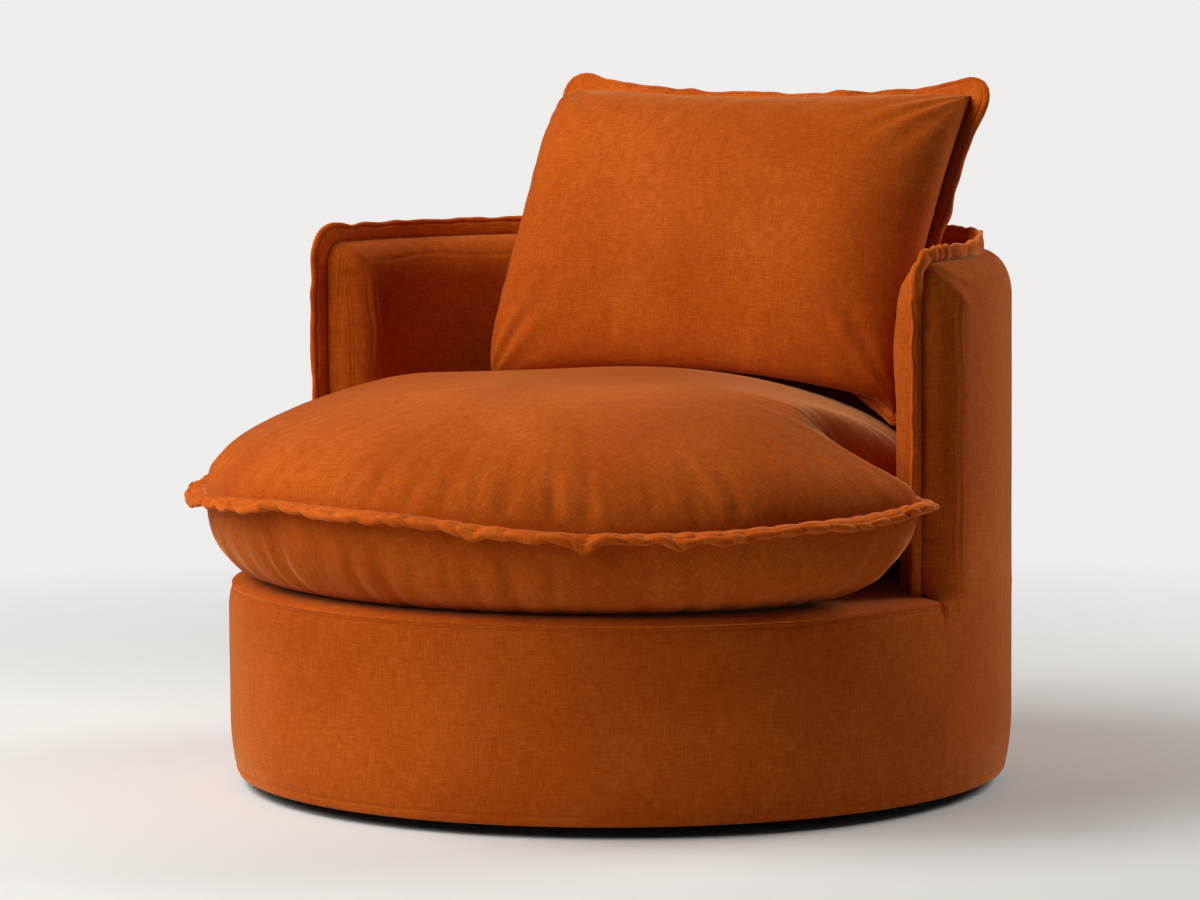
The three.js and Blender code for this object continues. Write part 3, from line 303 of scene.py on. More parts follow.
def stretches(t, spots, seed, loop=None):
    """How full each place along a gathered edge is, by a blunt half sine from crease to crease,
    and a number from -1 to 1 of its own for each stretch between two creases."""
    if loop:
        t = t % loop
        ends = np.concatenate([[spots[-1] - loop], spots, [spots[0] + loop]])
    else:
        ends = np.concatenate([[-40.0], spots, [spots[-1] + 120.0]])
    own = np.random.default_rng(seed).uniform(-1, 1, len(ends))
    own[len(ends) - 2] = own[0]
    k = np.clip(np.searchsorted(ends, t) - 1, 0, len(ends) - 2)
    share = np.clip((t - ends[k]) / (ends[k + 1] - ends[k]), 0, 1)
    return np.sin(np.pi * share) ** 0.7, own[k]


# Wall and drum

def rounded_corner(end, top):
    """Maps the square grid near an arm's top corner onto a quarter disc, so that the seam turns it."""
    p = np.clip((SEAM_CORNER - end) / SEAM_CORNER, 0, 1)
    q = np.clip((SEAM_CORNER - top) / SEAM_CORNER, 0, 1)
    inside = (end < SEAM_CORNER) & (top < SEAM_CORNER)
    return (
        np.where(inside, SEAM_CORNER * (1 - p * np.sqrt(1 - q * q / 2)), end),
        np.where(inside, SEAM_CORNER * (1 - q * np.sqrt(1 - p * p / 2)), top),
    )


def skin_bulge(end, top):
    """0 at the seam, 1 where the wall is full: a quarter circle over the roll, both ways blended."""
    near_end = np.maximum(0, 1 - end / ROLL)
    near_top = np.maximum(0, 1 - top / ROLL)
    further_in = np.clip(2 * end * top / (end + top + 1) / 30, 0, 1)
    blend = CORNER_BLEND[0] + (CORNER_BLEND[1] - CORNER_BLEND[0]) * further_in
    edge = (near_end ** blend + near_top ** blend) ** (1 / blend)
    return np.sqrt(1 - np.minimum(1, edge) ** 2)


def end_bulge(end):
    """The bulge beside an arm's front, far below the top."""
    return skin_bulge(end, np.full_like(end, ROLL))


def lining_roll(end, top, bulge, height):
    """The lining puffs in behind each arm's front, more above the seat, and has two upright pairs of
    creases on its roll, the first nearer the seam lower down, and a crease along the top."""
    low, high = LINING_PUFF
    puff = bell(end, 30, 48) * (1 - bell(top, 0, 85)) * bulge
    puff = puff * (low + (high - low) * np.clip((height - 500) / 60, 0, 1))
    puff = puff * np.clip((height - 300) / 80, 0, 1)
    upright = rising(top - end, 6, 3) * np.minimum(1, top / 30)
    level = rising(end - top, 30, 8) * np.minimum(1, end / 90)
    first = 0.43 - 0.25 * np.clip(top / 170, 0, 1) + 0.02 * ripple(top, 90, 15)
    second = 0.56 + 0.05 * ripple(top, 210, 16)
    creases = bell(bulge, first, 0.026) + 0.8 * bell(bulge, first + 0.085, 0.026)
    creases += 0.7 * bell(bulge, second, 0.022) + 0.5 * bell(bulge, second + 0.07, 0.03)
    along_top = bell(bulge, 0.8 + 0.05 * ripple(end, 190, 17), 0.03)
    return puff - 1.7 * creases * upright - 0.9 * along_top * level


def wall_folds(along, end, top, outside):
    """Soft pulls in the cloth: puckers that die away from the seam, upright pulls behind each arm's
    front, a fan round each top corner, and broad swells."""
    seed = 3 if outside else 11
    distance = np.minimum(end, top)
    off_seam = np.clip((distance - 2) / 6, 0, 1)
    beside = rising(top - end, 0, 4)
    pucker = beside * ripple(top, 27, seed) + (1 - beside) * ripple(along, 27, seed)
    pucker = 1.9 * pucker * fading(distance, 20)
    upright = ripple(end + 3 * ripple(top, 160, seed + 2), 12, seed + 1)
    upright = 0.9 * upright * bell(end, 30, 24) * np.minimum(1, top / 60)
    upright = upright * (0.6 + 0.8 * ripple(top, 240, seed + 6))
    fan_angle = np.arctan2(top + 4, end + 4)
    fan = 1.1 * np.cos(13 * fan_angle + 0.6 * seed) * bell(np.hypot(end, top), 54, 30)
    fan = fan * np.sin(np.minimum(fan_angle * 2, np.pi)) ** 2
    broad = 0.9 * ripple(along, 230, seed + 3) * ripple(top, 190, seed + 4)
    return (pucker + fan) * off_seam + upright + broad * np.minimum(1, distance / 90)


def wall_skin(along, below, outside):
    """Points of the wall's outer or inner skin: radius = edge + (full - edge) * bulge, where the
    skins' edges meet the flange LIP to either side of the seam."""
    left = along > WALL_LENGTH / 2
    end, top = rounded_corner(np.where(left, WALL_LENGTH - along, along), below)
    bulge = skin_bulge(end, top)
    side, full = (1, SHELL) if outside else (-1, INNER)
    edge = SEAM + side * LIP
    radius = edge + (full - edge) * bulge + side * wall_folds(along, end, top, outside)
    if not outside:
        radius = radius - lining_roll(end, top, bulge, SEAM_TOP - top)
    turn = WALL_START + end / SEAM
    return round_axis(np.where(left, np.pi - turn, turn), radius, SEAM_TOP - top)


def drum_radius(height, bulge):
    """The shell's radius less a tuck at the hem, a roll in to the deck seam where no wall stands, and
    the grooves of its stitched lines."""
    low = np.maximum(0, 1 - (height - HEM) / HEM_RISE)
    high = np.maximum(0, 1 - (DECK_SEAM - height) / DECK_EDGE_RISE)
    stitched = bell(height, HEM_STITCH, 1.6) + bell(height, HEM, 1.5)
    stitched += 1.3 * bell(height, DECK_STITCH, 1.1) * (1 - bulge)
    return SHELL - HEM_TUCK * low ** 2 - DECK_EDGE_INSET * high ** 2 * (1 - bulge) - stitched


def drum_folds(turn, height):
    """The drum's cloth lies almost flat: broad, shallow swells and a few puckers under the deck seam
    and round the hem."""
    along = SHELL * turn
    loop = 2 * np.pi * SHELL
    broad = 0.7 * ripple(along, 260, 21, loop) * ripple(height, 210, 22)
    pucker = ripple(along, 21, 23, loop) * fading(DECK_SEAM - height, 11)
    hem = 0.5 * ripple(along, 48, 24, loop) * fading(np.abs(height - HEM_STITCH), 10)
    return broad + pucker + hem


def roll_steps(count):
    """Distances from the seam to where the roll ends, close together at the seam."""
    return (1 - np.cos(np.linspace(0, np.pi / 2, count))) * ROLL


def wall_columns(cells, rolled):
    """Stations along the wall, close together where the skins roll in at either end."""
    steps = roll_steps(rolled)
    middle = np.linspace(ROLL, WALL_LENGTH - ROLL, cells)[1:-1]
    return np.concatenate([steps, middle, WALL_LENGTH - steps[::-1]])


def outer_cloth():
    """One cloth round the drum and up the outside of the wall. Rows run up from the hem, close
    together at the stitched lines; above the deck only the wall's columns have faces. Just above the
    deck the drum's rolled edge runs on into the arm's rounded front and fades out as the wall grows
    full."""
    stations = wall_columns(190, 37)
    front = np.linspace(np.pi - WALL_START, 2 * np.pi + WALL_START, 200)[1:-1]
    angles = np.concatenate([WALL_START + stations / SEAM, front])
    heights = np.concatenate([
        [HEM, HEM + 1.5, HEM + 4, 23, 25, 26, 27, 28, 29, 31, 36],
        np.linspace(42, 222, 22),
        [228, 234, 240, 244, 247, 248.6, 249.8, 250.6, 251.4, 252.6, 254, DECK_SEAM],
        [256, 257.5, 259, 260.5, DECK, 264, 267, 271, 277],
        np.linspace(284, SEAM_TOP - ROLL, 40)[:-1],
        SEAM_TOP - roll_steps(37)[::-1],
    ])
    along = np.concatenate([stations, np.zeros(len(front))])
    on_wall = np.arange(len(angles)) < len(stations)
    height, station = np.meshgrid(heights, along, indexing="ij")
    end = np.minimum(station, WALL_LENGTH - station)
    bulge = np.where(on_wall, end_bulge(end), 0)
    wall = wall_skin(station, SEAM_TOP - height, True)
    turn = np.broadcast_to(angles, height.shape)
    low = np.minimum(height, DECK_SEAM)
    drum = round_axis(turn, drum_radius(low, bulge) + drum_folds(turn, low), height)
    rise = np.clip((height - DECK_SEAM) / (DECK - DECK_SEAM + 6), 0, 1)
    blend = np.where(on_wall, rise ** 0.55, 0)[..., None]
    points = drum * (1 - blend) + wall * blend
    keep = np.ones((len(heights) - 1, len(angles)), bool)
    keep[int(np.searchsorted(heights, DECK_SEAM)):, len(stations) - 1:] = False
    around = np.append(angles, angles[0] + 2 * np.pi)
    chart = np.stack(np.broadcast_arrays(SHELL * around, heights[:, None]), -1)
    return grid_piece("outer_cloth", points, chart, wrap=True, keep=keep)


def inner_cloth():
    """The barrel's lining, from below the deck up to the seam."""
    flat_rows = SEAM_TOP - np.linspace(DECK - 62, SEAM_TOP - ROLL, 52)[:-1]
    depths = np.concatenate([flat_rows, roll_steps(49)[::-1]])
    below, along = np.meshgrid(depths, wall_columns(170, 73), indexing="ij")
    points = wall_skin(along, below, False)
    chart = np.stack([along, SEAM_TOP - below], -1)
    return grid_piece("inner_cloth", points[:, ::-1], chart[:, ::-1])


def deck_outline():
    """Turns and radii round the deck: a step beside the right arm's front, the lining's foot behind,
    a step beside the left arm's front, and the open front edge."""
    step = -ARM_FORWARD * SHELL / SEAM - CLEAR
    rim = SHELL - DECK_EDGE_INSET
    edge = SEAM - LIP
    beside = np.linspace(edge - CLEAR, rim, 5)
    side = np.arcsin(step / beside)
    rolled = WALL_START + roll_steps(13) / SEAM
    middle = np.linspace(rolled[-1], np.pi - rolled[-1], 88)[1:-1]
    behind = np.concatenate([rolled, middle, np.pi - rolled[::-1]])
    end = SEAM * (np.minimum(behind, np.pi - behind) - WALL_START)
    lining = edge + (INNER - edge) * end_bulge(end) - CLEAR
    ahead = np.linspace(np.pi - side[-1], 2 * np.pi + side[-1], 160)[1:-1]
    turn = np.concatenate([side[::-1], behind, np.pi - side, ahead])
    return turn, np.concatenate([beside[::-1], lining, beside, np.full(len(ahead), rim)])


def deck_cloth():
    """The platform under the seat: a disc by shares of its outline, flat, and rolled down at its open
    front edge over DECK_ROUND."""
    turn, reach = deck_outline()
    share = np.concatenate([np.linspace(0, 0.9, 25), np.linspace(0.915, 1, 14)])
    radius = share[:, None] * reach
    drop = np.maximum(0, 1 - (reach.max() - radius) / DECK_ROUND)
    gathers = 0.8 * ripple(SHELL * turn, 24, 25, 2 * np.pi * SHELL) * drop * (1 - drop)
    points = round_axis(turn, radius, DECK - DECK_DROP * drop ** 2.2 + gathers)
    return merged(grid_piece("deck_cloth", points, closed_chart(points), wrap=True), closed=False)


# Flanges

STRIP_SHARES = (-0.08, 0.0, 0.06, 0.14, 0.24, 0.36, 0.48, 0.58, 0.66, 0.71, 0.745, 0.78, 0.83, 0.88,
                0.93, 0.965, 0.99)
STITCH_SHARE = 0.745             # where across a flange its two layers are stitched together


def folded_strip(name, place, out, across, width, look, loop):
    """A seam's flange: two layers of cloth that run out from the seam, fold back at the edge and are
    stitched together a little inside it. Returns the piece and the seam's length.

    place, out, across and width are given at each step of the seam. The profile runs round from one
    layer's foot over the edge to the other's. At a share s of the width the half thickness grows from
    LIP at the foot to the body, less a groove at the stitched line, and closes as a quarter circle at
    the edge. Creases, between least and most apart, cross the edge at a slant and gather the flange
    into stretches that puff up between them. Waves, a flutter, a lean and each stretch's own twist
    move it across, more towards the edge. Where rope is 1 the section is a round roll with deeper
    creases. creases gives listed places for these, instead of the drawn ones between the first and
    the last. rope, force, puff and lean are given at each step; the others may be, as a column.
    """
    steps = np.linalg.norm(np.diff(place, axis=0, append=place[:1]), axis=-1)
    t = np.concatenate([[0], np.cumsum(steps[:-1])])
    length = steps.sum() if loop else t[-1]
    around = length if loop else None
    seed = look["seed"]
    share = np.array(STRIP_SHARES + (1.0,))
    share = np.concatenate([share, share[-2::-1]])
    half_count = len(STRIP_SHARES)
    side = np.concatenate([np.ones(half_count), [0], -np.ones(half_count)])
    tt, ss = np.meshgrid(t, share, indexing="ij")
    grown = np.clip(ss, 0, 1)
    rope, force, puff, lean = (look[key][:, None] for key in ("rope", "force", "puff", "lean"))
    flat_to = 0.84 - 0.5 * rope
    closing = np.sqrt(1 - np.clip((ss - flat_to) / (1 - flat_to), 0, 1) ** 2)
    spots = places_along(length, look["least"], look["most"], seed)
    given = look.get("creases")
    if given is not None:
        apart = (spots < given[0] - look["least"]) | (spots > given[-1] + look["least"])
        spots = np.sort(np.concatenate([spots[apart], given]))
    full, own = stretches(tt + look["slant"] * side * closing * grown, spots, seed + 1, around)
    pinched = (1 - full) * force * np.sqrt(grown)
    wave = look["wave"] * ripple(tt, look["wave_length"], seed + 2, around)
    flutter = look["flutter"] * ripple(tt + 9 * ss, look["flutter_length"], seed + 3, around)
    shift = wave * grown ** 1.2 + flutter * grown ** 2 + lean * grown ** 1.5
    shift = shift + look["twist"] * own * full * force * grown
    stitched = STITCH_SHARE + 0.17 * rope + look["wander"] * ripple(tt, 58, seed + 6, around)
    open_share = 1 - look["groove"] * bell(ss, stitched, 0.045)
    swell = puff * full * np.sin(np.pi * np.clip(ss / STITCH_SHARE, 0, 1))
    foot = bell(grown, 0, 0.1)
    lip = foot * (LIP - 0.5)
    flat = lip + (1 - foot) * look["body"] * (1 + swell) * open_share * (1 - 0.6 * pinched)
    rolled = look["roll"] * 2 * np.sqrt(grown * (1 - grown)) * (1 - 0.55 * pinched) * open_share
    half = flat * closing * (1 - rope) + np.maximum(rolled, lip) * rope
    reach = width[:, None] * ss * (1 - (look["notch"] + 0.16 * rope) * pinched)
    reach = reach + look["edge"] * grown * ripple(tt, 61, seed + 5, around)
    points = (
        place[:, None]
        + out[:, None] * reach[..., None]
        + across[:, None] * (shift + side * half)[..., None]
    )
    over = np.cumsum(np.abs(np.diff(share, prepend=share[0]))) * width.mean()
    chart = np.stack(np.broadcast_arrays(tt, over), -1)
    if loop:
        chart = np.concatenate([chart, chart[:1] + np.array([length, 0])])
    points, chart = points.transpose(1, 0, 2), chart.transpose(1, 0, 2)
    return thickened(grid_piece(name, points, chart, wrap=loop), 1.3), length


def wall_flange():
    """The flange up the right arm's front, round its corner, along the top and down the left arm. It
    is laid out in the unrolled wall, [along, below], and rolled onto the seam's radius."""
    step = 3.0
    foot = SEAM_TOP - DECK - 0.3
    turn = np.linspace(0, np.pi / 2, 14)
    corner = SEAM_CORNER - SEAM_CORNER * np.stack([np.cos(turn), np.sin(turn)], -1)
    half = np.concatenate([[[0, foot]], corner, [[WALL_LENGTH / 2, 0]]])
    other = half[-2::-1] * [-1, 1] + [WALL_LENGTH, 0]
    seam = resampled(np.concatenate([half, other]), step, loop=False)
    ahead = unit(np.gradient(seam, axis=0))
    away = smoothed(np.stack([ahead[:, 1], -ahead[:, 0]], -1), 2, loop=False)
    angle = WALL_START + seam[:, 0] / SEAM
    radial = round_axis(angle, 1.0, 0.0)
    tangent = round_axis(angle + np.pi / 2, 1.0, 0.0)
    place = round_axis(angle, SEAM, SEAM_TOP - seam[:, 1])
    out = tangent * away[:, :1] + np.array([0, 0, -1.0]) * away[:, 1:]
    t = np.arange(len(seam)) * step
    left_foot = t[-1] - foot
    twisted = bell(t, foot + 75, 132, power=6)
    rope = 0.95 * rising(-t, -foot - 205, 12)
    left_front = np.clip((t - left_foot + 40) / 80, 0, 1)
    column = twisted[:, None]
    look = dict(
        body=3.6, seed=40, least=22, most=70, slant=9.0, wave=4.2, wave_length=210,
        flutter=1.6 + 1.2 * column, flutter_length=62, twist=0.8 + 2.0 * column, edge=1.8,
        groove=0.6 * (1 - column), wander=0.07, notch=0.06, roll=6.3 + 3.3 * column,
        rope=rope, creases=foot - 10 + np.array(ROPE_CREASES),
        force=0.3 + 0.1 * rope + 0.6 * twisted,
        puff=0.2 + 0.2 * twisted,
        lean=3.0 * twisted + 6.5 * left_front,
    )
    width = 24.0 - 7.0 * rope + 4.0 * twisted
    width = width + 3.5 * bell(t, left_foot + 5, 40) - 3.0 * bell(t, left_foot - 48, 12)
    return folded_strip("wall_flange_cloth", place, out, radial, width, look, False)


# Seat cushion

def whole_outline(right):
    """A closed outline from its right half, which runs from the front to the back."""
    return np.concatenate([right, right[-2:0:-1] * [-1, 1]])


def seat_outline():
    """The seat's seam seen from above: round in front, an ear ahead of each arm, and narrower behind
    to fit the barrel, with its corners rounded a little."""
    front = np.linspace(-np.pi / 2, -SEAT_EAR_ANGLE, 60)
    ear, neck = SEAT_EAR, SEAT_NECK
    neck_turn = math.asin(neck[1] / neck[0])
    back = np.linspace(-neck_turn / 2, np.pi / 2, 60)
    right = np.concatenate([
        SEAT_RADIUS * np.stack([np.cos(front), np.sin(front)], -1),
        [[math.sqrt(ear[0] ** 2 - ear[1] ** 2), -ear[1]],
         [(ear[0] + neck[0]) / 2, -(ear[1] + neck[1]) / 2],
         [neck[0] * math.cos(neck_turn), -neck[1]]],
        SEAT_BACK * np.stack([np.cos(back), np.sin(back)], -1),
    ])
    even = resampled(whole_outline(right), 2.5)
    return resampled(smoothed(even, 4), 8.0)


def outline_normals(outline):
    """Outward unit normals of a closed outline that runs anticlockwise, smoothed."""
    ahead = np.roll(outline, -1, axis=0) - np.roll(outline, 1, axis=0)
    return unit(smoothed(unit(np.stack([ahead[:, 1], -ahead[:, 0]], -1)), 2))


def seat_seam_height(plan):
    """The seam climbs from the front to the ears, with the square of the way back, and stands higher
    over a stretch of its front, where the filling pushes it up."""
    back = np.minimum(1, (plan[..., 1] + SEAT_RADIUS) / (SEAT_RADIUS - SEAT_NECK[1]))
    turn = np.degrees(np.arctan2(plan[..., 0], -plan[..., 1]))
    middle, reach, rise = SEAT_LIFT
    reached = np.minimum(1, (plan ** 2).sum(-1) / SEAT_RADIUS ** 2)
    lift = rise * bell(turn, middle, reach, power=3) * reached
    return SEAT_SEAM[0] + SEAT_SEAM[1] * back ** 2 + lift


def seam_distance(plan, outline):
    """Distance of each plan point from the nearest stretch of an outline."""
    ahead = np.roll(outline, -1, axis=0) - outline
    offset = plan.reshape(-1, 1, 2) - outline
    along = np.clip((offset * ahead).sum(-1) / (ahead * ahead).sum(-1), 0, 1)
    nearest = np.linalg.norm(offset - along[..., None] * ahead, axis=-1).min(1)
    return nearest.reshape(plan.shape[:-1])


def bridged(plan, far_in):
    """Distance from the seam, but further in the distance from a rounder outline that has no necks,
    so that the dome runs on evenly from the ears to the back."""
    turn = np.linspace(-np.pi / 2, np.pi / 2, 90)
    back = eased((turn + SEAT_EAR_ANGLE) / (SEAT_BRIDGE[0] + SEAT_EAR_ANGLE))
    radius = SEAT_RADIUS + (SEAT_BACK - SEAT_RADIUS) * back
    right = radius[:, None] * np.stack([np.cos(turn), np.sin(turn)], -1)
    further = seam_distance(plan, resampled(whole_outline(right), 8.0))
    return far_in + np.maximum(0, further - far_in) * eased(far_in / SEAT_BRIDGE[1])


def seat_skin(plan, far_in, upper):
    """Height of the cushion's skin: from the seam up to the crown or down to the deck by
    sqrt(1 - (1 - d / roll) ** power), d being the distance from the seam, less near the ears."""
    roll, power = SEAT_TOP_ROLL if upper else SEAT_BOTTOM_ROLL
    depth = bridged(plan, far_in) if upper else far_in
    ear = np.hypot(np.abs(plan[..., 0]) - SEAT_EAR[0], plan[..., 1] + SEAT_EAR[1])
    pinch = 1 - SEAT_EAR_PINCH[0] * bell(ear, 0, SEAT_EAR_PINCH[1])
    fullness = np.sqrt(1 - np.maximum(0, 1 - depth * pinch / roll) ** power)
    edge = seat_seam_height(plan) + (LIP if upper else -LIP)
    return edge + ((SEAT_CROWN if upper else SEAT_BASE) - edge) * fullness


def seat_pulls(plan, far_in, t, loop, upper):
    """How far the cloth stands out: pulls in from the seam, most by the ears and at the left, short
    folds under the seam, and broad swells on top. t runs along the seam."""
    x, y = plan[..., 0], plan[..., 1]
    in_front = rising(-y, 60, 40)
    side = bell(np.abs(x), 470, 130) * in_front
    left = bell(x, -420, 260) * in_front
    above = np.where(upper, 1.0, 0.45)
    pulls = 2.6 * ripple(t + 0.12 * far_in, 24, 61, loop) * fading(far_in, 30)
    pulls += 5.0 * np.minimum(0.1, ripple(t - 0.2 * far_in, 46, 62, loop)) * fading(far_in, 75)
    gathers = ripple(t + 0.1 * far_in, 37, 64, loop) * fading(far_in, 95)
    pulls += gathers * (3.0 * side + 2.6 * left) * above
    under = np.where(upper, 0.0, 1.0) * bell(far_in, 18, 28)
    pulls += 5.0 * np.minimum(0.25, ripple(t, 58, 67, loop)) * under
    broad = 1.6 * ripple(x, 330, 65) * ripple(y, 280, 66) * np.minimum(1, far_in / 120)
    at_seam = np.minimum(1, far_in / 7)
    return pulls * at_seam * (0.35 + 0.65 * in_front) + np.where(upper, broad, 0)


def seat_cushion():
    """The seat cushion as one closed form. Rows run from the middle of the bottom out to the seam and
    in again to the middle of the top; columns fan out from a point ahead of the axis."""
    outline = seat_outline()
    middle = np.array([0, -SEAT_FAN])
    bottom_share = 1 - (1 - np.linspace(0, 1, 34)) ** 1.9
    top_share = np.sin(np.linspace(0, np.pi / 2, 62))[::-1] ** 0.9
    below = len(bottom_share)
    share = np.concatenate([bottom_share, top_share])
    upper = (np.arange(len(share)) >= below)[:, None]
    plan = middle + (outline - middle) * share[:, None, None]
    far_in = seam_distance(plan, outline)
    height = np.where(upper, seat_skin(plan, far_in, True), seat_skin(plan, far_in, False))
    points = np.concatenate([plan, height[..., None]], -1)
    run = np.linalg.norm(np.roll(outline, -1, axis=0) - outline, axis=-1)
    t = np.broadcast_to(np.concatenate([[0], np.cumsum(run[:-1])]), height.shape)
    lift = seat_pulls(plan, far_in, t, run.sum(), upper)
    normal = normals_of(points)
    outward = np.where(normal[..., 2] * np.where(upper, 1, -1) < 0, -1.0, 1.0)
    points = points + normal * (outward * lift)[..., None]
    points[..., 2] = np.maximum(points[..., 2], SEAT_BASE - 0.4)
    lengths = np.concatenate([
        arc_lengths(points[:below], 0), arc_lengths(points[below:][::-1], 0)[::-1],
    ])
    chart = unit(outline - middle) * lengths[..., None]
    chart[:below] *= [-1, 1]
    return merged(grid_piece("seat_cushion_cloth", points, closed_chart(chart), wrap=True))


def seat_flange():
    """The flange round the seat's seam, wide in front and at the ears, narrow beside the arms. Its
    edge droops a little, more at its dips, and is gathered into short twists by the ears."""
    outline = resampled(seat_outline(), 3.0)
    normal = outline_normals(outline)
    reach = np.linalg.norm(outline, axis=-1)
    in_front, beside, behind = SEAT_FLANGE
    on_ear = (outline[:, 1] < -SEAT_NECK[1]) & (reach > (SEAT_EAR[0] + SEAT_NECK[0]) / 2 + 13)
    width = np.where(on_ear, in_front, np.where(reach > SEAT_BACK + 0.3, beside, behind))
    width = smoothed(width, 4)
    share = np.minimum(1, width / in_front)
    room = share[:, None] ** 2
    place = np.concatenate([outline, seat_seam_height(outline)[:, None]], -1)
    out = np.concatenate([normal, np.zeros((len(outline), 1))], -1)
    up = np.broadcast_to([0, 0, 1.0], place.shape)
    ahead = outline[:, 1] < -60
    near_ear = bell(np.abs(outline[:, 0]), 505, 70) * ahead
    turn = np.degrees(np.arctan2(outline[:, 1], outline[:, 0]))
    dips = sum(depth * bell(turn, angle, 1.5) for angle, depth in SEAT_DIPS)
    look = dict(
        body=4.9, seed=80, least=17, most=44, slant=9.5, wave=6.0 * room, wave_length=170,
        flutter=2.2 * room, flutter_length=66, twist=3.2 * room, edge=1.6,
        groove=0.4, wander=0.0, notch=0.2, roll=7.0,
        rope=0.5 * near_ear,
        force=0.85 + 0.12 * near_ear,
        puff=0.15 + 0.35 * near_ear,
        lean=np.where(ahead, -1.5 - dips, -0.5) * share,
    )
    return folded_strip("seat_flange_cloth", place, out, up, width, look, True)


# Back cushion

def back_placed(x, up, ahead):
    """Points of the leaning frame of the back cushion's seam."""
    side = np.array([1.0, 0, 0])
    return (
        np.array(BACK_CENTRE)
        + x[..., None] * side
        + up[..., None] * BACK_UP
        + ahead[..., None] * BACK_AHEAD
    )


def back_outline(u, v):
    """The seam pulled in between its corners, most at the bottom."""
    pull = np.where(v > 0, *BACK_DIP)
    shape = np.where(v > 0, np.abs(u) ** 2, np.abs(u) ** 3)
    x = BACK_HALF_WIDTH * u * (1 - 0.045 * (1 - v * v))
    return x, BACK_HALF_HEIGHT * v * (1 - pull * (1 - shape))


def back_folds(u, v, x, up, front):
    """Pulls in the back cushion's cloth: fans from the four corners, short pulls in from the seams
    and broad soft hollows between them."""
    total = np.zeros_like(x)
    seed = 90 if front else 130
    for k, (cu, cv) in enumerate(((-1, 1), (1, 1), (1, -1), (-1, -1))):
        dx, dy = BACK_HALF_WIDTH * (1 - cu * u), BACK_HALF_HEIGHT * (1 - cv * v)
        reach = np.hypot(dx, dy)
        angle = np.arctan2(dy, dx)
        spread = np.sin(np.clip(2 * angle, 0, np.pi)) * bell(reach, 70, 62)
        total += 2.3 * np.cos(17 * angle + k + 2.2 * fading(reach, 80)) * spread
    from_top = BACK_HALF_HEIGHT * (1 - v)
    from_bottom = BACK_HALF_HEIGHT * (1 + v)
    from_side = BACK_HALF_WIDTH * (1 - np.abs(u))
    drawn = np.minimum(0.2, ripple(x + 0.9 * from_top, 62, seed))
    total += 2.6 * drawn * fading(from_top, 60)
    total += 1.3 * ripple(x + 0.6 * from_top, 29, seed + 1) * fading(from_top, 24)
    at_sides = ripple(up + 0.4 * from_side * np.sign(u), 42, seed + 2)
    total += 1.5 * at_sides * fading(from_side, 34)
    total += 2.0 * ripple(x - 0.3 * from_bottom, 52, seed + 3) * fading(from_bottom, 50)
    total += 4.0 * ripple(x + 0.5 * up, 300, seed + 4) * ripple(up, 240, seed + 5)
    return total


def back_skin(u, v, front):
    """One skin of the back cushion: swell = sqrt((1 - |u|^p)(1 - |v|^3)) times the crown, p from
    BACK_SIDE_POWERS, with the front hanging down below its bottom seam and swelling out sideways."""
    x, up = back_outline(u, v)
    crown = BACK_FRONT if front else BACK_REAR
    side = np.abs(u) ** BACK_SIDE_POWERS[0 if front else 1]
    swell = np.sqrt(np.maximum(0, (1 - side) * (1 - np.abs(v) ** 3)))
    folds = back_folds(u, v, x, up, front) * np.minimum(1, 4 * swell)
    ahead = LIP + (crown - LIP) * swell + folds
    if not front:
        return back_placed(x, up, -ahead)
    hang = 4 * swell * (1 - swell)
    sag = BACK_SAG * hang * np.maximum(0, -v) * (1 - u ** 4)
    return back_placed(x + BACK_BULGE * hang * u ** 3, up - sag, ahead)


def back_cushion():
    """The back cushion as one closed form: the front skin, the rear skin and a band in the seam's
    gap. The band runs along the bottom, up the right side, back along the top and down the left."""
    last = BACK_CELLS
    count, middle = last + 1, (last + 1) // 2
    steps = np.sin(np.linspace(-np.pi / 2, np.pi / 2, count))
    v, u = np.meshgrid(steps, steps, indexing="ij")
    front, rear = back_skin(u, v, True), back_skin(u, v, False)
    pieces = []
    for name, points in (("back_front_cloth", front), ("back_rear_cloth", rear)):
        across, above = arc_lengths(points, 1), arc_lengths(points, 0)
        across, above = across - across[:, middle:middle + 1], above - above[middle:middle + 1]
        pieces.append(grid_piece(name, points, np.stack([across, above], -1)))
    up, down = np.arange(last), np.arange(last, 0, -1)
    rim = np.concatenate([up, up * count + last, last * count + down, down * count])
    band = np.stack([rear.reshape(-1, 3)[rim], front.reshape(-1, 3)[rim]])
    run = np.arange(len(rim) + 1) * 5.0
    chart = np.stack(np.broadcast_arrays(run, np.array([[0], [2 * LIP]])), -1)
    pieces.append(grid_piece("back_rim", band, chart, wrap=True))
    return merged(joined("back_cushion_cloth", pieces), 2e-5)


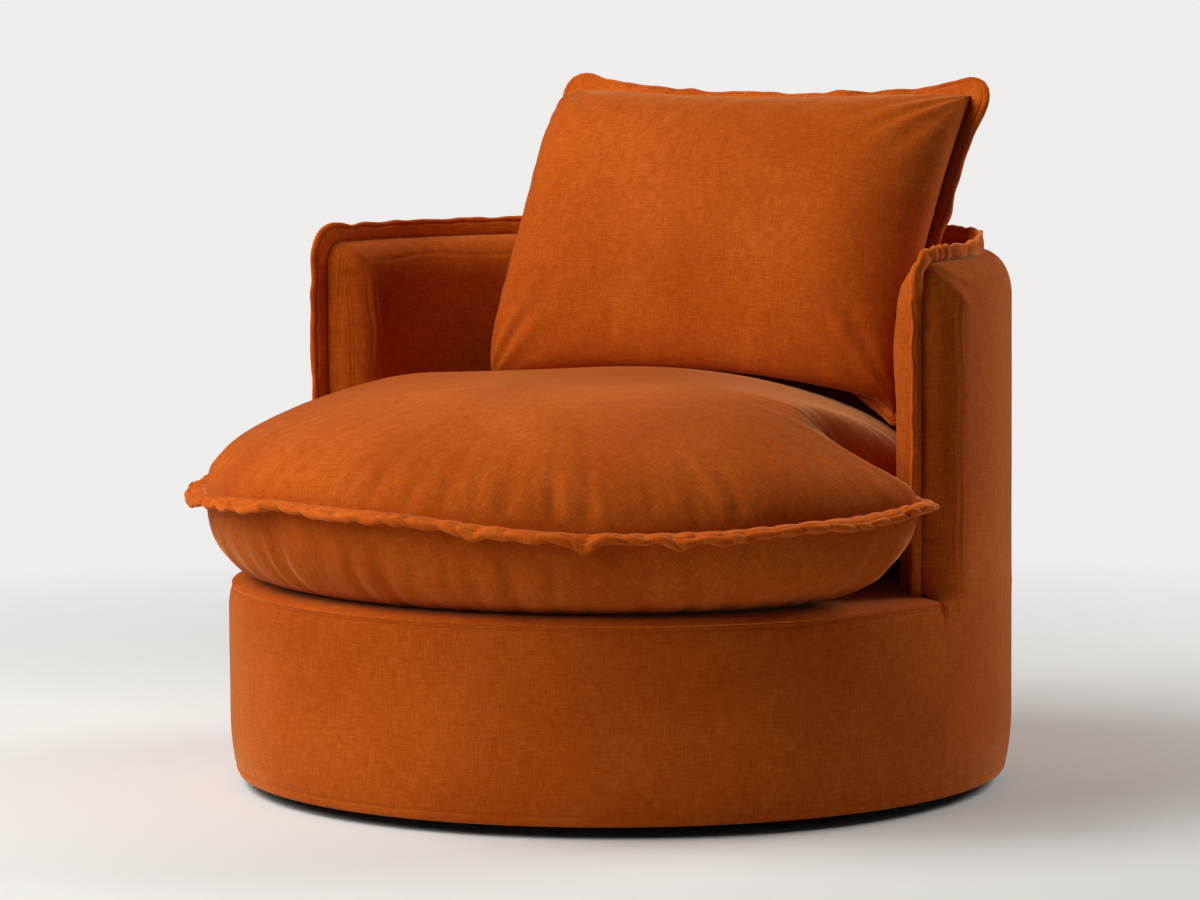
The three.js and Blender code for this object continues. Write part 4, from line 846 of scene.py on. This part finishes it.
def back_flange():
    """The flange round the back cushion's seam, in the seam's own leaning plane: wider at the top
    corners, narrow below."""
    side = np.sin(np.linspace(-np.pi / 2, np.pi / 2, 80))[:-1]
    ones = np.ones_like(side)
    u = np.concatenate([side, ones, -side, -ones])
    v = np.concatenate([-ones, side, ones, -side])
    even = resampled(np.stack([*back_outline(u, v), u, v], -1), 3.0)
    even[:, :2] = smoothed(even[:, :2], 3)
    normal = outline_normals(even[:, :2])
    x, up, u, v = even.T
    near_corner = (np.abs(u) * np.abs(v)) ** 6
    near_bottom = np.maximum(0, -v) ** 8
    width = 20.5 + 9 * near_corner * (v > 0) - 1.5 * np.maximum(0, v) ** 8 * (1 - near_corner)
    width = width + (13 - width) * near_bottom
    place = back_placed(x, up, 0 * u)
    out = normal[:, :1] * np.array([1.0, 0, 0]) + normal[:, 1:] * BACK_UP
    ahead = np.broadcast_to(BACK_AHEAD, place.shape)
    top = np.maximum(0, v) ** 6
    look = dict(
        body=3.3, seed=150, least=24, most=95, slant=8.0, wave=5.5, wave_length=140,
        flutter=2.0, flutter_length=62, twist=1.6, edge=1.4,
        groove=0.5, wander=0.05, notch=0.06, roll=6.0,
        rope=0 * u,
        force=0.35 + 0.25 * near_corner + 0.2 * top,
        puff=0.15 + 0.2 * near_corner,
        lean=1.5 * near_corner - 8.0 * top * (1 - near_corner) - 9.0 * near_bottom,
    )
    return folded_strip("back_flange_cloth", place, out, ahead, width, look, True)


# Cloths under the chair

def dust_cloth():
    """The black cloth tacked under the base board, a flat ring with a rolled outer hem. Returns the
    piece and its outer radius."""
    turn = np.linspace(0, 2 * np.pi, 129)[:-1]
    low, high = (np.array(corner) * 1000 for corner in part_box("dust_cover"))
    outer = (high[0] - low[0]) / 2
    radius = np.concatenate([
        np.linspace(DUST_OPENING, outer - 12, 22), outer - np.array([9, 6, 3, 0]),
    ])[:, None]
    x, y = radius * np.cos(turn), radius * np.sin(turn)
    belly = 0.35 * ripple(x, 90, 7) * ripple(y, 110, 8)
    height = high[2] - 0.35 - np.abs(belly) - 0.5 * bell(radius, outer - 8, 3)
    points = np.stack([x, y, height], -1)[::-1]
    piece = grid_piece("dust_cloth", points, closed_chart(points), wrap=True)
    return thickened(piece, 0.4), outer


def spring_cloth():
    """The woven sheet over the springs: it follows their arch and shows the bars faintly. Returns the
    piece and its flat size."""
    low, high = (np.array(corner) * 1000 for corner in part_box("spring_sheet"))
    x = np.linspace(low[0], high[0], 90)
    y = np.linspace(low[1], high[1], 120) - AXIS_Y
    yy, xx = np.meshgrid(y, x, indexing="ij")
    half = (high[1] - low[1]) / 2
    crown = high[2] - low[2] - 2
    height = high[2] - 0.3 - crown * (yy / half) ** 2
    height = height - 0.25 * (1 - np.cos(2 * np.pi * xx / 95))
    piece = grid_piece("spring_cloth", np.stack([xx, yy, height], -1), np.stack([xx, yy], -1))
    return thickened(piece, 1.0), (high - low)[:2]


# Shader maths

def math_node(operation, swapped=False):
    """An operator of Value, which adds one Math node."""
    def operate(self, other):
        first, second = (other, self) if swapped else (self, other)
        return self.finish.node("ShaderNodeMath", {"operation": operation}, {0: first, 1: second})
    return operate


class Value:
    """A node's output that can stand in sums; each operator adds one Math node."""

    __add__ = math_node("ADD")
    __radd__ = math_node("ADD", swapped=True)
    __sub__ = math_node("SUBTRACT")
    __rsub__ = math_node("SUBTRACT", swapped=True)
    __mul__ = math_node("MULTIPLY")

    def __init__(self, finish, socket):
        self.finish = finish
        self.socket = socket


class Finish:
    """A material and the one method that adds nodes to it, with short forms for the common ones."""

    def __init__(self, name):
        self.material = bpy.data.materials.new(name)
        self.material.use_nodes = True
        self.tree = self.material.node_tree
        self.tree.nodes.clear()

    def node(self, kind, settings=None, inputs=None, output=0):
        """A node of a type, its settings set first, then its sockets' values or links."""
        made = self.tree.nodes.new(kind)
        for key, value in (settings or {}).items():
            setattr(made, key, value)
        for key, value in (inputs or {}).items():
            if isinstance(value, Value):
                self.tree.links.new(value.socket, made.inputs[key])
            else:
                made.inputs[key].default_value = value
        return Value(self, made.outputs[output]) if len(made.outputs) else made

    def clipped(self, value):
        """A value held between 0 and 1."""
        return self.node("ShaderNodeClamp", {}, {0: value})

    def place(self, kind, scale, shift=(0, 0, 0)):
        """Object or UV coordinates, scaled and shifted."""
        source = self.node("ShaderNodeTexCoord", output=kind)
        return self.node("ShaderNodeMapping", {}, {
            "Vector": source, "Location": shift, "Scale": scale,
        })

    def noise(self, kind, scale, shift=(0, 0, 0), detail=3.0, roughness=0.5, distortion=0.0):
        """Noise over the coordinates of a kind, finer by the scale along each axis."""
        return self.node("ShaderNodeTexNoise", {}, {
            "Vector": self.place(kind, scale, shift), "Scale": 1.0, "Detail": detail,
            "Roughness": roughness, "Distortion": distortion,
        })

    def wave(self, kind, direction, scale, distortion):
        """Even bands along a direction."""
        return self.node("ShaderNodeTexWave", {"bands_direction": direction}, {
            "Vector": self.place(kind, (1, 1, 1)), "Scale": scale, "Distortion": distortion,
        })

    def ramp(self, tone, *stops):
        """Colours at their places along a tone."""
        colours = self.node("ShaderNodeValToRGB", {}, {0: self.clipped(tone)})
        elements = colours.socket.node.color_ramp.elements
        while len(elements) < len(stops):
            elements.new(1.0)
        for element, (position, colour) in zip(elements, stops):
            element.position = position
            element.color = colour
        return colours

    def colours(self, factor, first, second):
        """A mix of two colours by a factor. Sockets 6 and 7 are the node's colours, output 2 theirs."""
        return self.node("ShaderNodeMix", {"data_type": "RGBA"}, {0: factor, 6: first, 7: second}, 2)

    def bump(self, height, strength, distance):
        return self.node("ShaderNodeBump", {}, {
            "Strength": strength, "Distance": distance, "Height": height,
        })

    def surface(self, **inputs):
        """The main shader, its sockets named in words with underscores for spaces."""
        values = {key.replace("_", " "): value for key, value in inputs.items()}
        shader = self.node("ShaderNodeBsdfPrincipled", {}, values)
        self.node("ShaderNodeOutputMaterial", {}, {"Surface": shader})
        return self.material


# Materials

def shade(colour, factor):
    """A colour made darker or lighter, with full alpha."""
    return tuple(min(1.0, channel * factor) for channel in colour[:3]) + (1.0,)


def velvet(name, look, depth=1.0, weave=1.0, sheen=1.0):
    """Linen-look velvet: two crossed sets of fine slubbed threads, cloudy pile and a pale sheen at
    grazing angles.
    Threads follow the piece's own UV. depth scales all its colours; above 1 it gives a lighter copy,
    painted light, for pieces meant to look more lit."""
    finish = Finish(name)
    warp = finish.noise("UV", (700, 80, 1), roughness=0.6)
    weft = finish.noise("UV", (80, 700, 1), (7, 3, 0), roughness=0.6)
    slub = finish.noise("UV", (420, 40, 1), (2, 9, 0), detail=1.0)
    cross_slub = finish.noise("UV", (40, 420, 1), (5, 1, 0), detail=1.0)
    cloud = finish.noise("UV", (70, 70, 1), detail=5.0, roughness=0.65)
    pile = finish.noise("UV", (5.5, 5.5, 1), (4, 4, 0), distortion=0.4)
    threads = (warp + weft) * 0.5
    slubs = (slub + cross_slub) * 0.5
    tone = (
        (threads - 0.5) * 1.3 + (slubs - 0.5) * 0.8
        + (cloud - 0.5) * 0.5 + (pile - 0.5) * 0.7 + 0.5
    )
    # depth lightens every colour of the ramp; above 1 this is painted light
    base = finish.ramp(
        tone,
        (0.1, shade(look.velvet_dark, depth)),
        (0.5, shade(look.velvet, depth)),
        (0.9, shade(look.velvet_light, depth)),
    )
    height = threads * 0.7 + slubs * 0.5 + cloud * 0.3
    return finish.surface(
        Base_Color=base,
        Roughness=0.92 - (threads - 0.5) * 0.15,
        Normal=finish.bump(height, 0.45 * weave, 0.0009),
        Sheen_Weight=look.sheen * sheen,
        Sheen_Roughness=0.32,
        Sheen_Tint=(1.0, 0.55, 0.24, 1.0),
        Specular_IOR_Level=0.05,
    )


def plywood(look):
    """Ply: long grain on the faces, and thin plies as dark lines on the edges."""
    finish = Finish("plywood_birch")
    grain = finish.noise("Object", (9, 150, 150), detail=5.0, distortion=0.5)
    fleck = finish.noise("Object", (60, 900, 900), detail=2.0)
    plies = finish.wave("Object", "Z", 110.0, 0.15)
    tone = (grain - 0.5) * 0.9 + (fleck - 0.5) * 0.3 + plies * 0.22 + 0.4
    base = finish.ramp(
        tone,
        (0.1, shade(look.timber, 0.55)), (0.5, shade(look.timber, 1.0)), (1.0, shade(look.timber, 1.3)),
    )
    return finish.surface(
        Base_Color=base, Roughness=0.55 + grain * 0.3, Normal=finish.bump(tone, 0.25, 0.0006),
    )


def hardboard():
    """Brown pressed fibre board with a fine hairy fleck."""
    finish = Finish("hardboard_brown")
    fibre = finish.noise("Object", (260, 260, 700), detail=4.0, distortion=1.2)
    cloud = finish.noise("Object", (14, 14, 14))
    tone = (fibre - 0.5) * 1.1 + (cloud - 0.5) * 0.8 + 0.5
    base = finish.ramp(
        tone,
        (0.1, (0.12, 0.055, 0.022, 1)), (0.5, (0.24, 0.12, 0.05, 1)), (0.95, (0.36, 0.21, 0.1, 1)),
    )
    return finish.surface(
        Base_Color=base, Roughness=0.6 + fibre * 0.3, Normal=finish.bump(fibre, 0.2, 0.0004),
    )


def painted_board(look):
    """Matt black paint over board, with a faint orange-peel and dusty patches."""
    finish = Finish("paint_black")
    peel = finish.noise("Object", (420, 420, 420), detail=2.0)
    dust = finish.noise("Object", (12, 12, 12), detail=4.0, distortion=0.6)
    base = finish.colours(dust, shade(look.paint, 0.8), shade(look.paint, 1.9))
    return finish.surface(
        Base_Color=base, Roughness=0.45 + dust * 0.35, Normal=finish.bump(peel, 0.15, 0.0004),
    )


def nylon():
    """Moulded nylon with a fine spark-eroded grain."""
    finish = Finish("nylon_moulded")
    grain = finish.noise("Object", (1400, 1400, 1400), detail=2.0)
    wear = finish.noise("Object", (70, 70, 40))
    base = finish.colours(wear, (0.015, 0.015, 0.016, 1), (0.045, 0.045, 0.046, 1))
    return finish.surface(
        Base_Color=base, Roughness=0.38 + wear * 0.25, Normal=finish.bump(grain, 0.2, 0.0002),
    )


def zinc_steel():
    """Zinc plating: a bright metal with cloudy, slightly bluish patches and fine rolling lines."""
    finish = Finish("steel_zinc")
    cloud = finish.noise("Object", (45, 45, 45), detail=5.0, distortion=0.8)
    lines = finish.noise("Object", (14, 900, 900), detail=2.0)
    base = finish.colours(cloud, (0.42, 0.44, 0.46, 1), (0.68, 0.69, 0.68, 1))
    return finish.surface(
        Base_Color=base, Metallic=1.0, Roughness=0.24 + cloud * 0.26,
        Normal=finish.bump(lines, 0.08, 0.0002),
    )


def spring_steel():
    """Drawn wire, darkened by oil, with lighter rubbed patches."""
    finish = Finish("steel_spring")
    oil = finish.noise("Object", (60, 60, 60), detail=4.0, distortion=0.5)
    base = finish.colours(oil, (0.07, 0.075, 0.08, 1), (0.26, 0.26, 0.26, 1))
    return finish.surface(Base_Color=base, Metallic=1.0, Roughness=0.3 + oil * 0.3)


def plain_weave(name, dark, light, pitch, roughness):
    """A plain cloth: two crossed waves of thread with slubs."""
    finish = Finish(name)
    warp = finish.wave("UV", "X", pitch, 0.6)
    weft = finish.wave("UV", "Y", pitch, 0.6)
    slub = finish.noise("UV", (60, 60, 1), detail=4.0)
    tone = (warp + weft) * 0.35 + slub * 0.4
    base = finish.colours(finish.clipped(tone), dark, light)
    return finish.surface(
        Base_Color=base, Roughness=roughness, Normal=finish.bump(warp + weft, 0.3, 0.0004),
    )


# Settings

def colour_setting(name, description, default):
    """A setting that holds a colour."""
    return FloatVectorProperty(
        name=name, description=description, default=default, subtype="COLOR", size=3, min=0, max=1)


class ClothLook(PropertyGroup):
    velvet: colour_setting("Velvet", "Main colour of the pile", (0.405, 0.071, 0.0050))
    velvet_dark: colour_setting(
        "Velvet, dark", "Colour between the threads", (0.295, 0.0425, 0.0021))
    velvet_light: colour_setting(
        "Velvet, light", "Colour of the raised slubs", (0.53, 0.117, 0.0130))
    sheen: FloatProperty(
        name="Sheen", description="Strength of the pale sheen at grazing angles",
        default=0.42, min=0, max=1, subtype="FACTOR")


class FrameLook(PropertyGroup):
    timber: colour_setting("Timber", "Colour of the bare plywood", (0.56, 0.36, 0.17))
    paint: colour_setting("Plinth paint", "Colour of the painted plinth", (0.012, 0.012, 0.012))


class StudioLook(PropertyGroup):
    focal_length: FloatProperty(
        name="Focal length", description="On a sensor 36 mm wide", default=154.88, min=20, max=400)
    distance: FloatProperty(
        name="Distance", description="From the swivel axis to the camera, level",
        default=6.5657, min=1, max=30, unit="LENGTH")
    height: FloatProperty(
        name="Height", description="Of the camera over the floor",
        default=1.0578, min=0, max=5, unit="LENGTH")
    azimuth: FloatProperty(
        name="Azimuth", description="Round the chair, from its front towards its left hand",
        default=math.radians(35), subtype="ANGLE")
    pitch: FloatProperty(
        name="Pitch", description="Down from level", default=0.0969593, subtype="ANGLE")
    yaw: FloatProperty(
        name="Yaw", description="Away from the swivel axis", default=0.0037294, subtype="ANGLE")
    roll: FloatProperty(
        name="Roll", description="About the line of sight", default=-0.00665617, subtype="ANGLE")
    floor_colour: colour_setting("Floor", "Colour of the floor", (0.72, 0.71, 0.695))


# Stage

FLOOR_FADE = (0.8, 2.6)          # metres from the axis where the floor starts to fade, and is gone
DIM_LIGHT = ((1.0, 0.985, 0.96, 1), 0.07)      # colour and strength of the light from all round
BACKDROP = ((0.86, 0.85, 0.835, 1), 1.0)       # the same of what the camera sees there
LAMP_COLOUR = (1.0, 0.985, 0.96)
LAMP_AIM = (0.0, 0.0, 0.42)
LAMPS = (
    # name, degrees round from the camera towards its right, degrees up, distance, size, power
    ("key", -88.0, 50.0, 3.6, 2.4, 98.0),
    ("front", -58.0, 38.0, 3.6, 2.4, 61.0),
    ("rim", 113.0, 35.0, 3.6, 2.0, 72.0),
)


def make_floor(look):
    """A flat round floor, whose edge fades into the pale backdrop."""
    turn = np.linspace(0, 2 * np.pi, 65)[:-1]
    radius = 1000 * np.array([0, 0.5, 1.0, 1.5, 2.0, FLOOR_FADE[1]])[:, None]
    points = round_axis(turn, radius, -0.1)
    floor = merged(grid_piece("floor", points, closed_chart(points), wrap=True), closed=False)
    finish = Finish("floor_pale")
    cloud = finish.noise("Object", (0.7, 0.7, 1), detail=2.0)
    colour = look.floor_colour
    base = finish.colours(cloud, shade(colour, 0.985), shade(colour, 1.015))
    paper = finish.node("ShaderNodeBsdfPrincipled", {}, {
        "Base Color": base, "Roughness": 0.9, "Specular IOR Level": 0.1,
    })
    reach = finish.node("ShaderNodeVectorMath", {"operation": "LENGTH"}, {
        0: finish.place("Object", (1, 1, 0)),
    }, "Value")
    fade = finish.node("ShaderNodeMapRange", {"interpolation_type": "SMOOTHSTEP"}, {
        "Value": reach, "From Min": FLOOR_FADE[0], "From Max": FLOOR_FADE[1],
    })
    clear = finish.node("ShaderNodeBsdfTransparent")
    mixed = finish.node("ShaderNodeMixShader", {}, {0: fade, 1: paper, 2: clear})
    finish.node("ShaderNodeOutputMaterial", {}, {"Surface": mixed})
    floor.data.materials.append(finish.material)


def make_world():
    """Even dim light from all round; the camera sees the backdrop's pale colour there."""
    world = bpy.data.worlds.new("studio")
    bpy.context.scene.world = world
    world.use_nodes = True
    tree = world.node_tree
    tree.nodes.clear()
    path = tree.nodes.new("ShaderNodeLightPath")
    mix = tree.nodes.new("ShaderNodeMixShader")
    tree.links.new(path.outputs["Is Camera Ray"], mix.inputs[0])
    for socket, (colour, strength) in enumerate((DIM_LIGHT, BACKDROP), 1):
        light = tree.nodes.new("ShaderNodeBackground")
        light.inputs["Color"].default_value = colour
        light.inputs["Strength"].default_value = strength
        tree.links.new(light.outputs[0], mix.inputs[socket])
    output = tree.nodes.new("ShaderNodeOutputWorld")
    tree.links.new(mix.outputs[0], output.inputs["Surface"])


def make_lamps(look):
    """Large soft lamps round the chair."""
    for name, round_from, up, distance, size, power in LAMPS:
        turn, rise = look.azimuth + math.radians(round_from), math.radians(up)
        place = distance * np.array([
            math.cos(rise) * math.sin(turn), -math.cos(rise) * math.cos(turn), math.sin(rise),
        ])
        lamp = bpy.data.lights.new(name, "AREA")
        lamp.shape = "DISK"
        lamp.size = size
        lamp.energy = power
        lamp.color = LAMP_COLOUR
        holder = bpy.data.objects.new(name, lamp)
        bpy.context.scene.collection.objects.link(holder)
        holder.location = place
        holder.rotation_mode = "QUATERNION"
        holder.rotation_quaternion = Vector(unit(LAMP_AIM - place)).to_track_quat("-Z", "Y")


def make_camera(look):
    """The photograph's camera: level distance and azimuth from the swivel axis, then pitch and
    roll."""
    camera = bpy.data.objects.new("camera", bpy.data.cameras.new("camera"))
    bpy.context.scene.collection.objects.link(camera)
    camera.data.sensor_width = 36.0
    camera.data.lens = look.focal_length
    camera.data.clip_end = 100.0
    camera.location = (
        look.distance * math.sin(look.azimuth),
        AXIS_Y / 1000.0 - look.distance * math.cos(look.azimuth),
        look.height,
    )
    turned = (
        Matrix.Rotation(look.azimuth + look.yaw, 4, "Z")
        @ Matrix.Rotation(math.pi / 2 - look.pitch, 4, "X")
        @ Matrix.Rotation(look.roll, 4, "Z")
    )
    camera.rotation_mode = "QUATERNION"
    camera.rotation_quaternion = turned.to_quaternion()
    bpy.context.scene.camera = camera


# Operators

VELVETS = {}                     # the plain velvet and a lighter copy for flanges and deck (painted light), made before the operators run


class CHAIR_OT_outer_cover(Operator):
    """Outer cover round the drum and the outside of the wall"""
    bl_idname = "chair.outer_cover"
    bl_label = "Outer Cover"

    def execute(self, context):
        piece = thickened(outer_cloth(), CLOTH)
        finished(piece, VELVETS["plain"], "chair_body", "velvet", "outer_cover", "outer_wadding")
        return {"FINISHED"}


class CHAIR_OT_lining(Operator):
    """Inner cover that lines the barrel, over its foam"""
    bl_idname = "chair.lining"
    bl_label = "Barrel Lining"

    def execute(self, context):
        piece = thickened(inner_cloth(), CLOTH)
        finished(piece, VELVETS["plain"], "chair_body", "velvet",
                 "inner_cover", "inner_padding", "edge_roll")
        return {"FINISHED"}


class CHAIR_OT_deck(Operator):
    """Cloth-covered platform under the seat cushion"""
    bl_idname = "chair.deck"
    bl_label = "Deck"

    def execute(self, context):
        piece = thickened(deck_cloth(), CLOTH)
        finished(piece, VELVETS["folded"], "chair_body", "velvet_folded", "deck_cover", "deck_pad")
        return {"FINISHED"}


class CHAIR_OT_flanges(Operator):
    """Folded flanges in the seams of the wall and of both cushions"""
    bl_idname = "chair.flanges"
    bl_label = "Flanges"

    def execute(self, context):
        rows = (
            # maker, body, CAD node, flat width in metres, the piece it is sewn to
            (wall_flange, "chair_body", "wall_flange", 0.058, "outer_cloth"),
            (seat_flange, "seat_cushion", "seat_flange", 0.059, "seat_cushion_cloth"),
            (back_flange, "back_cushion", "back_flange", 0.052, "back_cushion_cloth"),
        )
        for make, body, node, width, carrier in rows:
            piece, length = make()
            finished(piece, VELVETS["folded"], body, "velvet_folded", node)
        return {"FINISHED"}


class CHAIR_OT_seat_cushion(Operator):
    """Loose round seat cushion"""
    bl_idname = "chair.seat_cushion"
    bl_label = "Seat Cushion"

    def execute(self, context):
        piece = seat_cushion()
        finished(piece, VELVETS["plain"], "seat_cushion", "velvet",
                 "seat_core", "seat_top_panel", "seat_bottom_panel")
        return {"FINISHED"}


class CHAIR_OT_back_cushion(Operator):
    """Loose back cushion"""
    bl_idname = "chair.back_cushion"
    bl_label = "Back Cushion"

    def execute(self, context):
        piece = back_cushion()
        finished(piece, VELVETS["plain"], "back_cushion", "velvet",
                 "back_filling", "back_front_panel", "back_rear_panel")
        return {"FINISHED"}


class CHAIR_OT_under_cloths(Operator):
    """Dust cover under the base and the sheet over the springs"""
    bl_idname = "chair.under_cloths"
    bl_label = "Under Cloths"

    def execute(self, context):
        cambric = plain_weave(
            "cambric_black", (0.006, 0.006, 0.007, 1), (0.03, 0.03, 0.032, 1), 500, 0.9)
        hessian = plain_weave(
            "hessian_plain", (0.22, 0.15, 0.07, 1), (0.55, 0.42, 0.23, 1), 320, 0.95)
        piece, outer = dust_cloth()
        finished(piece, cambric, "chair_body", "cambric", "dust_cover")
        piece, (width, length) = spring_cloth()
        finished(piece, hessian, "chair_body", "hessian", "spring_sheet")
        return {"FINISHED"}


class CHAIR_OT_frame_finishes(Operator):
    """Finishes of the timber, board, nylon and steel pieces"""
    bl_idname = "chair.frame_finishes"
    bl_label = "Frame Finishes"

    def execute(self, context):
        look = context.scene.chair_frame
        materials = {
            "plywood": plywood(look),
            "hardboard": hardboard(),
            "black_paint": painted_board(look),
            "nylon": nylon(),
            "zinc_steel": zinc_steel(),
            "spring_steel": spring_steel(),
        }
        for row in frame["record"]["subparts"]:
            node = frame["nodes"][row["node"]]
            material = materials.get(row["material_slot"])
            if material and not node.hide_render:
                for slot in node.material_slots:
                    slot.material = material
        return {"FINISHED"}


class CHAIR_OT_stage(Operator):
    """Pale floor, soft studio light and the camera"""
    bl_idname = "chair.stage"
    bl_label = "Stage"

    def execute(self, context):
        look = context.scene.chair_studio
        make_floor(look)
        make_world()
        make_lamps(look)
        make_camera(look)
        context.scene.view_settings.view_transform = "Standard"
        return {"FINISHED"}


OPERATORS = (
    CHAIR_OT_stage,
    CHAIR_OT_outer_cover,
    CHAIR_OT_lining,
    CHAIR_OT_deck,
    CHAIR_OT_seat_cushion,
    CHAIR_OT_back_cushion,
    CHAIR_OT_flanges,
    CHAIR_OT_under_cloths,
    CHAIR_OT_frame_finishes,
)
GROUPS = (("chair_cloth", ClothLook), ("chair_frame", FrameLook), ("chair_studio", StudioLook))


class CHAIR_PT_panel(Panel):
    """Lists the chair's settings and operators"""
    bl_idname = "CHAIR_PT_panel"
    bl_label = "Cuddle Chair"
    bl_space_type = "VIEW_3D"
    bl_region_type = "UI"
    bl_category = "Cuddle Chair"

    def draw(self, context):
        for name, group in GROUPS:
            column = self.layout.column()
            for setting in group.__annotations__:
                column.prop(getattr(context.scene, name), setting)
        for operator in OPERATORS:
            self.layout.operator(operator.bl_idname)


def register():
    for name, group in GROUPS:
        bpy.utils.register_class(group)
        setattr(bpy.types.Scene, name, PointerProperty(type=group))
    for operator in OPERATORS:
        bpy.utils.register_class(operator)
    bpy.utils.register_class(CHAIR_PT_panel)


def unregister():
    bpy.utils.unregister_class(CHAIR_PT_panel)
    for operator in reversed(OPERATORS):
        bpy.utils.unregister_class(operator)
    for name, group in reversed(GROUPS):
        delattr(bpy.types.Scene, name)
        bpy.utils.unregister_class(group)


def main():
    register()
    look = bpy.context.scene.chair_cloth
    VELVETS["plain"] = velvet("velvet_rust", look)
    # a copy 1.22 times lighter for the flanges and the deck: painted light, so these strips look more
    # lit; its stronger sheen is the shader's own
    VELVETS["folded"] = velvet("velvet_folded_painted_light_rust", look, depth=1.22, weave=0.9, sheen=1.3)
    for operator in OPERATORS:
        family, name = operator.bl_idname.split(".")
        getattr(getattr(bpy.ops, family), name)()


if __name__ == "__main__":
    main()
